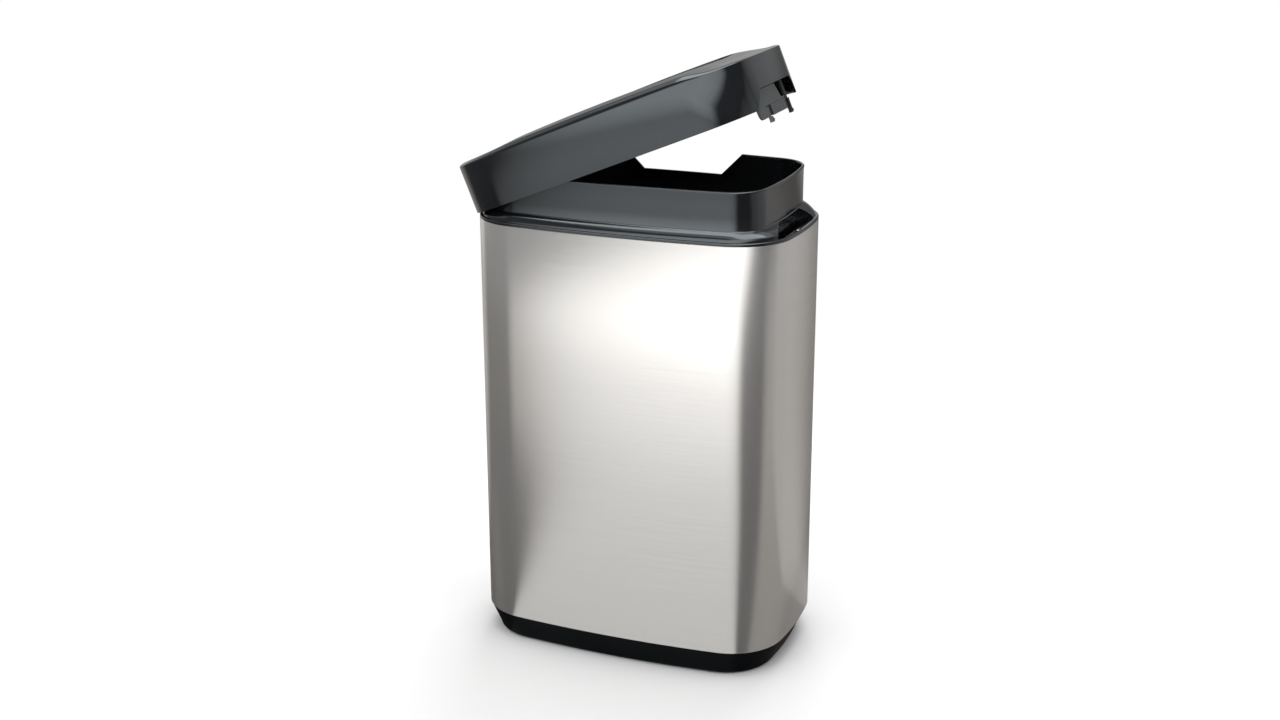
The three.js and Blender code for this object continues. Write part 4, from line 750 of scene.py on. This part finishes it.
def window_shape():
    slope = (WINDOW_BOTTOM - WINDOW_TOP) / WINDOW_HEIGHT
    low, high = COVER_BOTTOM - PAST, COVER_BOTTOM + WINDOW_HEIGHT
    bottom, top = WINDOW_BOTTOM + slope * PAST, WINDOW_TOP - WINDOW_CORNER
    side, turn = WINDOW_TOP + slope * WINDOW_CORNER, high - WINDOW_CORNER
    bend, bend_level = side - WINDOW_ROUND_RUN, turn + WINDOW_ROUND_RISE
    return [
        (-bottom, low), (bottom, low), (side, turn), (bend, bend_level), (top, high),
        (-top, high), (-bend, bend_level), (-side, turn),
    ]


def add_cover_bosses(cover):
    """Bosses inside the cover for the screws of the hinge arms, the latch guide and the flap's bracket."""
    for side in (-1, 1):
        for height in ARM_HEIGHTS:
            middle = (side * HINGE_SPACING / 2, HINGE_Z + height)
            boss = extrude("boss", circle(BOSS_RADIUS, middle), "x", -END_X, ARM_SEAT_X - ARM_FLANGE)
            in_wall = prism(bin_plan, COVER_WALL / 2, COVER_BOTTOM, EDGE_LINE)
            combine(cover, combine(boss, in_wall, "INTERSECT"), "UNION")
        add_boss(cover, GUIDE_SCREW_X, side * GUIDE_Y, GUIDE_SEAT + GUIDE_FLANGE, EDGE_LINE + GUIDE_BOSS_RISE)
        bracket_low, bracket_high = BRACKET_SEAT + BRACKET_FLANGE, OPENING_TOP + BRACKET_BOSS_RISE
        add_boss(cover, side * BRACKET_X, BRACKET_Y, bracket_low, bracket_high)


def make_cover():
    cover = cover_solid()
    spread = RELIEF_SPREAD * (RELIEF_HEIGHT + PAST) / RELIEF_HEIGHT
    relief = trapezoid(RELIEF_HALF + spread, RELIEF_HALF, COVER_BOTTOM - PAST, COVER_BOTTOM + RELIEF_HEIGHT)
    combine(cover, extrude("relief", relief, "x", -END_X - PAST, HINGE_X))
    combine(cover, extrude("window", window_shape(), "x", GUIDE_FACE_X, END_X + PAST))
    slot = (-CHUTE_SLOT_HALF, CHUTE_SLOT_HALF, CHUTE_SLOT_FRONT, CHUTE_SLOT_REAR)
    combine(cover, block("chute_slot", *slot, OPENING_TOP - CHUTE_SLOT_DROP, OPENING_TOP - COVER_WALL))
    add_cover_bosses(cover)
    return turned_open(smooth(cover, angle=35, edge=0.4))


piece(make_cover(), "cover", COVER_BLACK, "cover_plastic", "cover_shell")


# Flap

def dome(inset, low):
    """Rings of the flap's panel, from its edge to its middle."""
    ring = opening_plan.ring(inset, 0)
    middle = ring.mean(0, keepdims=True)
    levels = [crowned(low + FLAP_DOME * (1 - (1 - s) ** 2), 1) for s in DOME_SHARES]
    return [between(middle, ring, 1 - s, level) for s, level in zip(DOME_SHARES, levels)]


def make_lug(side, flap_top):
    x0, y, z = LUG_INNER_X if side > 0 else -LUG_INNER_X - LUG_WALL, FLAP_AXIS_Y, FLAP_AXIS_Z
    lug_top = flap_top + CROWN_RISE * crown_share(x0) - FLAP_WALL / 2
    lug = extrude("lug", [
        (y - LUG_HEEL, lug_top), (y - LUG_RADIUS, z),
        *[(y + LUG_RADIUS * cos(t), z + LUG_RADIUS * sin(t)) for t in sweep(2 * pi, LUG_STEPS, pi)[1:-1]],
        (y + LUG_RADIUS, z), (y + LUG_RADIUS, lug_top),
    ], "x", x0, x0 + LUG_WALL)
    return combine(lug, extrude("bore", circle(LUG_BORE, (y, z)), "x", x0 - OVER, x0 + LUG_WALL + OVER))


def make_flap():
    flap_top, skirt_foot = OPENING_TOP - FLAP_DROP, crowned(OPENING_TOP - FLAP_SKIRT, 1)
    flap = loft("flap_panel", [
        *dome(FLAP_GAP + FLAP_EDGE, flap_top)[:0:-1],
        *mouth_round(FLAP_GAP + FLAP_EDGE, -FLAP_EDGE, flap_top),
        *opening_plan.rings([(FLAP_GAP, skirt_foot), (FLAP_GAP + FLAP_SKIRT_WALL, skirt_foot)]),
        *dome(FLAP_GAP + FLAP_SKIRT_WALL, flap_top - FLAP_WALL),
    ], "capped")
    combine(flap, block("trim", *FLAP_TRIM))
    return join_meshes(flap, make_lug(-1, flap_top), make_lug(1, flap_top))


piece(turned_open(smooth(make_flap(), angle=35, edge=0.3)), "flap", FLAP_BLACK, "flap_plastic", "flap")


# Latch

def slider_room(slider):
    """Keeps the slider clear of the cover's wall over its whole travel, and cuts the slots of its screws."""
    for y in LATCH_SCREW_Y:
        slot = []
        for i in range(SLOT_STEPS):
            turn = pi * (0.5 + 2 * i / SLOT_STEPS)
            end = y + (LATCH_TRAVEL if i == 0 or i > SLOT_STEPS / 2 else 0)
            slot.append((end + LATCH_SCREW_RADIUS * cos(turn),
                         COVER_BOTTOM + LATCH_SCREW_HEIGHT + LATCH_SCREW_RADIUS * sin(turn)))
        combine(slider, extrude("slot", slot, "x", SLIDER_X - OVER, SLIDER_X + LATCH_WALL + OVER))
    room = prism(bin_plan, RIM_WIDTH + 2 * GAP, COVER_BOTTOM - PRONG_DROP - OVER, EDGE_LINE)
    room.data.transform(Matrix.Translation((0, LATCH_TRAVEL * MM, 0)))
    return combine(slider, room, "INTERSECT")


def prong(y):
    tip, root, side = COVER_BOTTOM - PRONG_DROP, COVER_BOTTOM - OVER, y + PRONG_WIDTH
    hook = side + HOOK_LENGTH
    return extrude("prong", [
        (y, tip), (side, tip), (hook, tip + HOOK_HEIGHT / 2), (hook, tip + HOOK_HEIGHT),
        (side, tip + HOOK_HEIGHT), (side, root), (y, root),
    ], "x", SLIDER_X, SLIDER_X + PRONG_DEPTH)


def make_slider_face():
    """Thumb plate, tongue, bar and the front prong, with a gap in the bar beside the prong."""
    x0, x1, low = SLIDER_X + BACKING, SLIDER_X + LATCH_WALL, COVER_BOTTOM
    bottom, top, step_x = low - FOOT_DROP, low + FOOT_TOP, x1 - FOOT_STEP
    plate_top, plate_bottom = low + THUMB_TOP - THUMB_GAP, low + THUMB_LOW
    plate = extrude("latch_plate", [
        (THUMB_FRONT, plate_top), (THUMB_FRONT, plate_bottom), (THUMB_REAR_BOTTOM, plate_bottom),
        (THUMB_REAR_TOP + THUMB_SLOPE * THUMB_GAP, plate_top),
    ], "x", x0, x1)
    front, gap_rear = PRONGS[0] + OVER, PRONGS[0] + PRONG_WIDTH + PRONG_GAP
    tongue = [
        (THUMB_FRONT, top),
        *[(THUMB_FRONT + FOOT_ROUND * x, bottom + FOOT_ROUND * (1 - y)) for x, y in quarter_round()],
        (front, bottom), (front, top),
    ]
    combine(plate, extrude("tongue", tongue, "x", x0 - BACKING, step_x), "UNION")
    combine(plate, block("bar", x0, step_x, gap_rear, ARM_FRONT, bottom, top), "UNION")
    front_prong = prong(PRONGS[0])
    combine(front_prong, block("step", step_x, x1 + PAST, front - PAST, gap_rear, bottom, low + OVER))
    combine(plate, front_prong, "UNION")
    groove = (x1 - GROOVE_DEPTH, x1 + OVER, PRONGS[0] - GROOVE_REACH, ARM_FRONT + OVER)
    combine(plate, block("groove", *groove, low + GROOVE_LOW, plate_bottom))
    return slider_room(plate)


def make_slider_back():
    """Backing web, rail, arm, rear prong and the spring's tab."""
    x0, x1, low = SLIDER_X, SLIDER_X + LATCH_WALL, COVER_BOTTOM
    bottom, web_x, tab_rear = low - FOOT_DROP, x0 + BACKING, SPRING_REAR + LATCH_WALL
    tab_top = low + SPRING_HEIGHT + SPRING_RADIUS + LATCH_WALL
    rail = block("latch_back", x0, x1, THUMB_FRONT, RAIL_REAR, low + THUMB_TOP, low + RAIL_TOP)
    for solid in (
        block("web", x0, web_x, THUMB_FRONT, FOOT_REAR, bottom + FOOT_STEP, low + THUMB_LOW),
        block("ledge", x0, web_x, THUMB_FRONT, THUMB_REAR_TOP, low, low + THUMB_TOP),
        block("arm", x0, x1, ARM_FRONT, FOOT_REAR, bottom, low + RAIL_TOP),
        block("tab", x0, x1, SPRING_REAR, tab_rear, low + THUMB_TOP, tab_top),
        prong(PRONGS[1]),
    ):
        combine(rail, solid, "UNION")
    corner = (x0 - OVER, x1 + OVER, THUMB_FRONT - OVER, THUMB_FRONT + FOOT_ROUND)
    combine(rail, block("corner", *corner, bottom - OVER, low - OVER))
    return slider_room(rail)


latch_face = turned_open(smooth(make_slider_face(), angle=35, edge=0.35))
latch_back = turned_open(smooth(make_slider_back(), angle=35, edge=0.25))
# The slider is one moulding. Its face keeps the latch plastic. Its back, with the rail, arm, rear prong and
# tab, takes the darker matt inner plastic as painted shade.
piece(latch_face, "latch", LATCH_BLACK, "latch_plastic", "latch_slider")
piece(latch_back, "latch", INNER_AND_SHADE_BLACK, "inner_plastic", "latch_slider")


# Springs

def coil(radius, turns, place_at):
    """Points of a coil: place_at gives one from the turns so far and its offsets across and up."""
    for i in range(turns * COIL_STEPS + 1):
        turn = 2 * pi * i / COIL_STEPS
        yield place_at(i / COIL_STEPS, radius * sin(turn), radius * cos(turn))


def compression_points():
    """Coil with a close turn at each end."""
    start, stop = SPRING_FRONT + GAP + SPRING_WIRE / 2, SPRING_REAR - GAP - SPRING_WIRE / 2
    close = CLOSE_PITCH * SPRING_WIRE
    turns, ways = [0, 1, SPRING_TURNS - 1, SPRING_TURNS], [start, start + close, stop - close, stop]
    x, z = SLIDER_X + LATCH_WALL / 2, COVER_BOTTOM + SPRING_HEIGHT
    return coil(SPRING_RADIUS, SPRING_TURNS, lambda way, across, up: (
        x + across, float(np.interp(way, turns, ways)), z + up))


def leg_points(side):
    """Leg that bears under the flap and turns with it."""
    x = side * TORSION_START
    under = OPENING_TOP - FLAP_DROP - FLAP_WALL + CROWN_RISE * crown_share(x) - GAP - TORSION_WIRE / 2
    return [(x, FLAP_AXIS_Y - TORSION_LEG, under), (x, FLAP_AXIS_Y, FLAP_AXIS_Z + TORSION_RADIUS)]


def torsion_points(side):
    """Coil beside a lug on the flap's pin."""
    return coil(TORSION_RADIUS, TORSION_TURNS, lambda way, across, up: (
        side * (TORSION_START + TORSION_PITCH * way), FLAP_AXIS_Y + across, FLAP_AXIS_Z + up))


def spring_piece(name, points, thickness, body, node):
    spring = turned_open(smooth(wire(name, points, thickness), angle=50))
    return piece(spring, body, SPRING_STEEL, "spring_steel", node)


spring = spring_piece("latch_coil", compression_points(), SPRING_WIRE, "cover", "latch_spring")
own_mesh(spring)
for side, name in ((-1, "left"), (1, "right")):
    node = "flap_spring_" + name
    spring_piece("flap_coil_" + name, torsion_points(side), TORSION_WIRE, "cover", node)
    spring_piece("flap_coil_leg_" + name, leg_points(side), TORSION_WIRE, "flap", node)


# Screws

def screw_mesh(head_radius, length):
    """Pan head with a cross recess, and a threaded shank down to a point."""
    profile = [(TIP_RADIUS, -length), (TIP_SHOULDER, -length + TIP_RISE)]
    height, step = -length + THREAD_START, 0
    while height < -THREAD_PITCH:
        profile.append((SCREW_SHANK - SCREW_THREAD * (step % 2), height))
        height, step = height + THREAD_PITCH / 2, step + 1
    profile += [(SCREW_SHANK, 0), (head_radius, 0)]
    profile += [
        (head_radius * (1 - CROWN_PULL * x), SCREW_HEAD * (HEAD_RIM + (1 - HEAD_RIM) * y))
        for x, y in quarter_round()
    ]
    screw = lathe("screw", profile)
    reach, half = RECESS_REACH * head_radius, RECESS_HALF * head_radius
    for x, y in ((reach, half), (half, reach)):
        combine(screw, block("recess", -x, x, -y, y, SCREW_HEAD * RECESS_FLOOR, SCREW_HEAD + OVER))
    return screw


def shoulder_screw():
    """Flat slotted head, a shoulder for the slider's slot and a shank into the guide."""
    neck, seat = SLIDER_X - (GUIDE_FACE_X - LATCH_WALL), -LATCH_WALL - GAP
    screw = lathe("screw", [
        (SCREW_SHANK, seat - neck), (SCREW_SHANK, seat), (LATCH_SHOULDER, seat), (LATCH_SHOULDER, 0),
        (HEAD_RADIUS, 0), (HEAD_RADIUS, LATCH_HEAD - LATCH_HEAD_EDGE),
        (HEAD_RADIUS - LATCH_HEAD_EDGE, LATCH_HEAD),
    ])
    recess = (-HEAD_RADIUS, HEAD_RADIUS, -DRIVE_HALF, DRIVE_HALF, LATCH_HEAD - DRIVE_DEPTH, LATCH_HEAD + OVER)
    return combine(screw, block("recess", *recess))


def set_screw(name, body, template, direction, place_at):
    screw = new_object(name + "_head", template.data.copy())
    turn = Vector(direction).to_track_quat("Z", "Y").to_matrix().to_4x4()
    screw.data.transform(Matrix.Translation(Vector(place_at) * MM) @ turn)
    if body != "bin_body":
        turned_open(screw)
    piece(smooth(screw, angle=40, edge=0.08, segments=1), body, ZINC, "zinc_steel", name)


# How far the bowed face falls away under the heads of the screws in the back
back_fall = bin_plan.face_radius - sqrt(bin_plan.face_radius ** 2 - (BACK_X - HEAD_RADIUS) ** 2)
back_y = BIN_DEPTH / 2 - back_fall + GAP
body_screw, slot_screw = screw_mesh(HEAD_RADIUS, SCREW_LENGTH), shoulder_screw()
strike_screw = screw_mesh(STRIKE_HEAD_RADIUS, STRIKE_SCREW_LENGTH)
for end, y in zip(("front", "rear"), STRIKE_SCREW_Y):
    set_screw("strike_screw_" + end, "bin_body", strike_screw, (0, 0, 1), (STRIKE_SCREW_X, y, STRIKE_SEAT))
for side, name in ((-1, "left"), (1, "right")):
    for part, z in (("collar", SLEEVE_TOP - BACK_INSET), ("base", PLINTH_HEIGHT + BACK_INSET)):
        set_screw(part + "_screw_" + name, "bin_body", body_screw, (0, 1, 0), (side * BACK_X, back_y, z))
    bracket_seat = (side * BRACKET_X, BRACKET_Y, BRACKET_SEAT)
    set_screw("flap_bracket_screw_" + name, "cover", body_screw, (0, 0, -1), bracket_seat)
for side, name in ((-1, "front"), (1, "rear")):
    for level, height in zip(("low", "high"), ARM_HEIGHTS):
        arm_seat = (ARM_SEAT_X, side * HINGE_SPACING / 2, HINGE_Z + height)
        set_screw("hinge_arm_screw_" + name + "_" + level, "cover", body_screw, (1, 0, 0), arm_seat)
    guide_seat = (GUIDE_SCREW_X, side * GUIDE_Y, GUIDE_SEAT)
    set_screw("latch_guide_screw_" + name, "cover", body_screw, (0, 0, -1), guide_seat)
for name, y in zip(("front", "rear"), LATCH_SCREW_Y):
    slider_seat = (SLIDER_X + LATCH_WALL + GAP, y, COVER_BOTTOM + LATCH_SCREW_HEIGHT)
    set_screw("latch_screw_" + name, "cover", slot_screw, (1, 0, 0), slider_seat)
for template in (body_screw, strike_screw, slot_screw):
    bpy.data.objects.remove(template)

# Carried-over solids

dress(["hinge_arm_front", "hinge_arm_rear", "latch_guide", "flap_bracket"], INNER_AND_SHADE_BLACK)
dress(["strike_plate", "hinge_pin_front", "hinge_pin_rear", "flap_pin"], ZINC, edge=0.2)
dress([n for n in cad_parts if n.startswith("foot_")], RUBBER, edge=0.3)

# Studio. Lengths that only lights and their materials have are in metres, from here on.

FLOOR_REACH, FLOOR_COLOUR, FLOOR_ROUGHNESS, FLOOR_GLOSS = 30, (0.80, 0.80, 0.80, 1), 0.9, 0.1
FLOOR_TOP_UP, FADE_START, FADE_STOP = 0.04, 0.45, 1.3

# A cove of cloth and cards stands round the object and shows only in its gloss. Stops are azimuths from
# the front, towards the right, in degrees, and brightnesses. Azimuths are taken from the nearest side.
COVE_STOPS = (
    (-180, 0.36), (-172, 0.20), (-146, 0.20), (-132, 0.42), (-108, 0.42), (-92, 0.10), (-38, 0.09),
    (-35, 0.32), (-32, 0.56), (-28, 0.73), (-22, 0.90), (-14, 0.99), (2, 1.07), (14, 1.0), (24, 0.84),
    (37, 0.055), (74, 0.055), (84, 0.27), (98, 0.43), (146, 0.45), (155, 0.36), (163, 0.22), (172, 0.15),
    (180, 0.36),
)
# Brightness against the way outwards along the floor and then up the cloth.
COVE_RISES = (
    (0.0, 0.66), (0.12, 0.70), (0.5, 0.80), (0.9, 0.97), (1.3, 1.08), (1.6, 1.10), (1.85, 1.05), (1.97, 1.55),
    (2.15, 2.0), (2.8, 2.0), (3.8, 1.4),
)
COVE_REACH, COVE_INNER, COVE_OUTER = (0.15, 0.10, 0), 0.12, 1.7
COVE_LIFT, COVE_TOP, COVE_SIDES = 0.002, 2.2, 96
# Above this height the cards lean to the right, in radians a metre, and near the bin by this angle too.
LEAN_FROM, COVE_LEAN, NEAR_LEAN, NEAR_UP_TO, NEAR_NONE_FROM = 0.7, 0.7, 0.09, 0.2, 0.9
# The cloth at the right is as bright all the way up. The dim parts are warm, and plain above this height.
SIDE_FROM, SIDE_TO, SIDE_LEVEL = 62, 84, 1.03
WARM_UP_TO, PLAIN_FROM, WARM_LEVEL, PLAIN_LEVEL = 0.3, 0.7, 0.2, 0.8
WARM, PLAIN = (1.0, 0.93, 0.87), (1.0, 0.995, 0.985)

# Name, place, the point that it faces, size, power in watts, and whether gloss mirrors it
SOFTBOXES = (
    ("top_box", (0.0, -0.2, 3.2), (0, 0, 0), (3.6, 3.0), 84, True),
    ("front_box", (-0.6, -2.6, 1.3), (0, 0, 0.4), (2.2, 2.2), 30, False),
    ("right_box", (2.4, 0.4, 1.1), (0, 0, 0.4), (1.2, 2.0), 8, False),
    ("rear_box", (-0.2, 1.9, 1.5), (0, 0, 0), (1.5, 1.5), 36, False),
)
WORLD_LIGHT = 0.30


def seen_directly(tree):
    """1 for rays of the camera, of mirrors and of glass."""
    rays = add(tree, "LightPath").outputs
    seen = number(tree, "MAXIMUM", rays["Is Camera Ray"], rays["Is Glossy Ray"])
    return number(tree, "MAXIMUM", seen, rays["Is Transmission Ray"])


def emission(tree, colour, strength):
    return add(tree, "Emission", {"Color": colour, "Strength": strength}).outputs["Emission"]


def floor_material():
    """Pale floor that keeps the shadow. Where it is seen it is topped up, and fades to white farther out."""
    material, tree, shader = nodes_for("floor")
    feed(tree, shader, {
        "Base Color": FLOOR_COLOUR, "Roughness": FLOOR_ROUGHNESS, "Specular IOR Level": FLOOR_GLOSS,
    })
    seen = seen_directly(tree)
    top_up = emission(tree, WHITE, number(tree, "MULTIPLY", seen, FLOOR_TOP_UP))
    lit = add(tree, "AddShader", {0: shader.outputs["BSDF"], 1: top_up})
    way_out = vector(tree, "LENGTH", add(tree, "TexCoord").outputs["Object"])
    far = ramp(tree, way_out, 0.0, 1.0, FADE_START, FADE_STOP)
    fade = add(tree, "MixShader", {
        0: number(tree, "MULTIPLY", far, seen), 1: lit.outputs["Shader"], 2: emission(tree, WHITE, seen),
    })
    feed(tree, tree.nodes["Material Output"], {"Surface": fade.outputs["Shader"]})
    return material


def value_curve(tree, fac, stops, low, high):
    """Brightness between named stops, by a ramp over the range from low to high."""
    level = max(v for _, v in stops)
    node = add(tree, "ValToRGB", {"Fac": ramp(tree, fac, 0.0, 1.0, low, high)})
    elements = node.color_ramp.elements
    while len(elements) < len(stops):
        elements.new(0.5)
    for element, (position, value) in zip(elements, stops):
        element.position = (position - low) / (high - low)
        element.color = (value / level, value / level, value / level, 1)
    return number(tree, "MULTIPLY", node.outputs["Color"], level)


def cove_material():
    material, tree, _ = nodes_for("cove")
    point = add(tree, "TexCoord").outputs["Object"]
    inside = vector(tree, "MAXIMUM", point, tuple(-v for v in COVE_REACH))
    outwards = vector(tree, "SUBTRACT", point, vector(tree, "MINIMUM", inside, COVE_REACH))
    x, y, z = add(tree, "SeparateXYZ", {"Vector": outwards}).outputs
    azimuth = number(tree, "ARCTAN2", x, number(tree, "MULTIPLY", y, -1.0))
    level_part = add(tree, "CombineXYZ", {"X": x, "Y": y}).outputs["Vector"]
    way = number(tree, "ADD", vector(tree, "LENGTH", level_part), z)
    above = number(tree, "SUBTRACT", z, LEAN_FROM, use_clamp=True)
    near = ramp(tree, way, NEAR_LEAN, 0.0, NEAR_UP_TO, NEAR_NONE_FROM)
    lean = number(tree, "ADD", number(tree, "MULTIPLY", above, COVE_LEAN), near)
    leant = number(tree, "SUBTRACT", azimuth, lean)
    around = value_curve(tree, leant, [(radians(a), v) for a, v in COVE_STOPS], -pi, pi)
    outward = value_curve(tree, way, COVE_RISES, 0.0, COVE_RISES[-1][0])
    side = ramp(tree, leant, 0.0, 1.0, radians(SIDE_FROM), radians(SIDE_TO))
    outward = blend(tree, side, outward, SIDE_LEVEL)
    high_up = ramp(tree, z, 0.0, 1.0, WARM_UP_TO, PLAIN_FROM)
    plain = blend(tree, high_up, ramp(tree, around, 0.0, 1.0, WARM_LEVEL, PLAIN_LEVEL), 1.0)
    colour = ramp(tree, plain, WARM, PLAIN, 0.0, 1.0)
    light = emission(tree, colour, number(tree, "MULTIPLY", around, outward))
    feed(tree, tree.nodes["Material Output"], {"Surface": light})
    return material


def softbox(name, location, target, size, power, mirrored):
    lamp = bpy.data.lights.new(name, "AREA")
    lamp.shape, lamp.size, lamp.size_y, lamp.energy = "RECTANGLE", size[0], size[1], power
    obj = new_object(name, lamp)
    obj.location = location
    obj.rotation_euler = (Vector(target) - Vector(location)).to_track_quat("-Z", "Y").to_euler()
    obj.visible_glossy = mirrored


def set_world():
    """White where it is seen, and dimmer as light."""
    world = bpy.data.worlds.new("studio")
    world.use_nodes = True
    tree = world.node_tree
    strength = ramp(tree, seen_directly(tree), WORLD_LIGHT, 1.0, 0.0, 1.0)
    feed(tree, tree.nodes["Background"], {"Color": WHITE, "Strength": strength})
    scene.world = world


floor_mesh = bpy.data.meshes.new("floor")
corners = [(x * FLOOR_REACH, y * FLOOR_REACH, 0) for x, y in ((-1, -1), (1, -1), (1, 1), (-1, 1))]
floor_mesh.from_pydata(corners, [], [(0, 1, 2, 3)])
floor_mesh.materials.append(floor_material())
floor = new_object("floor", floor_mesh)

cove = loft("cove", [
    level_circle(radius / MM, height / MM, COVE_SIDES)
    for radius, height in ((COVE_INNER, COVE_LIFT), (COVE_OUTER, COVE_LIFT), (COVE_OUTER, COVE_TOP))
], "open")
cove.data.materials.append(cove_material())
cove.visible_camera = cove.visible_diffuse = cove.visible_shadow = cove.visible_transmission = False

for settings in SOFTBOXES:
    softbox(*settings)
set_world()
scene.view_settings.view_transform = "Standard"
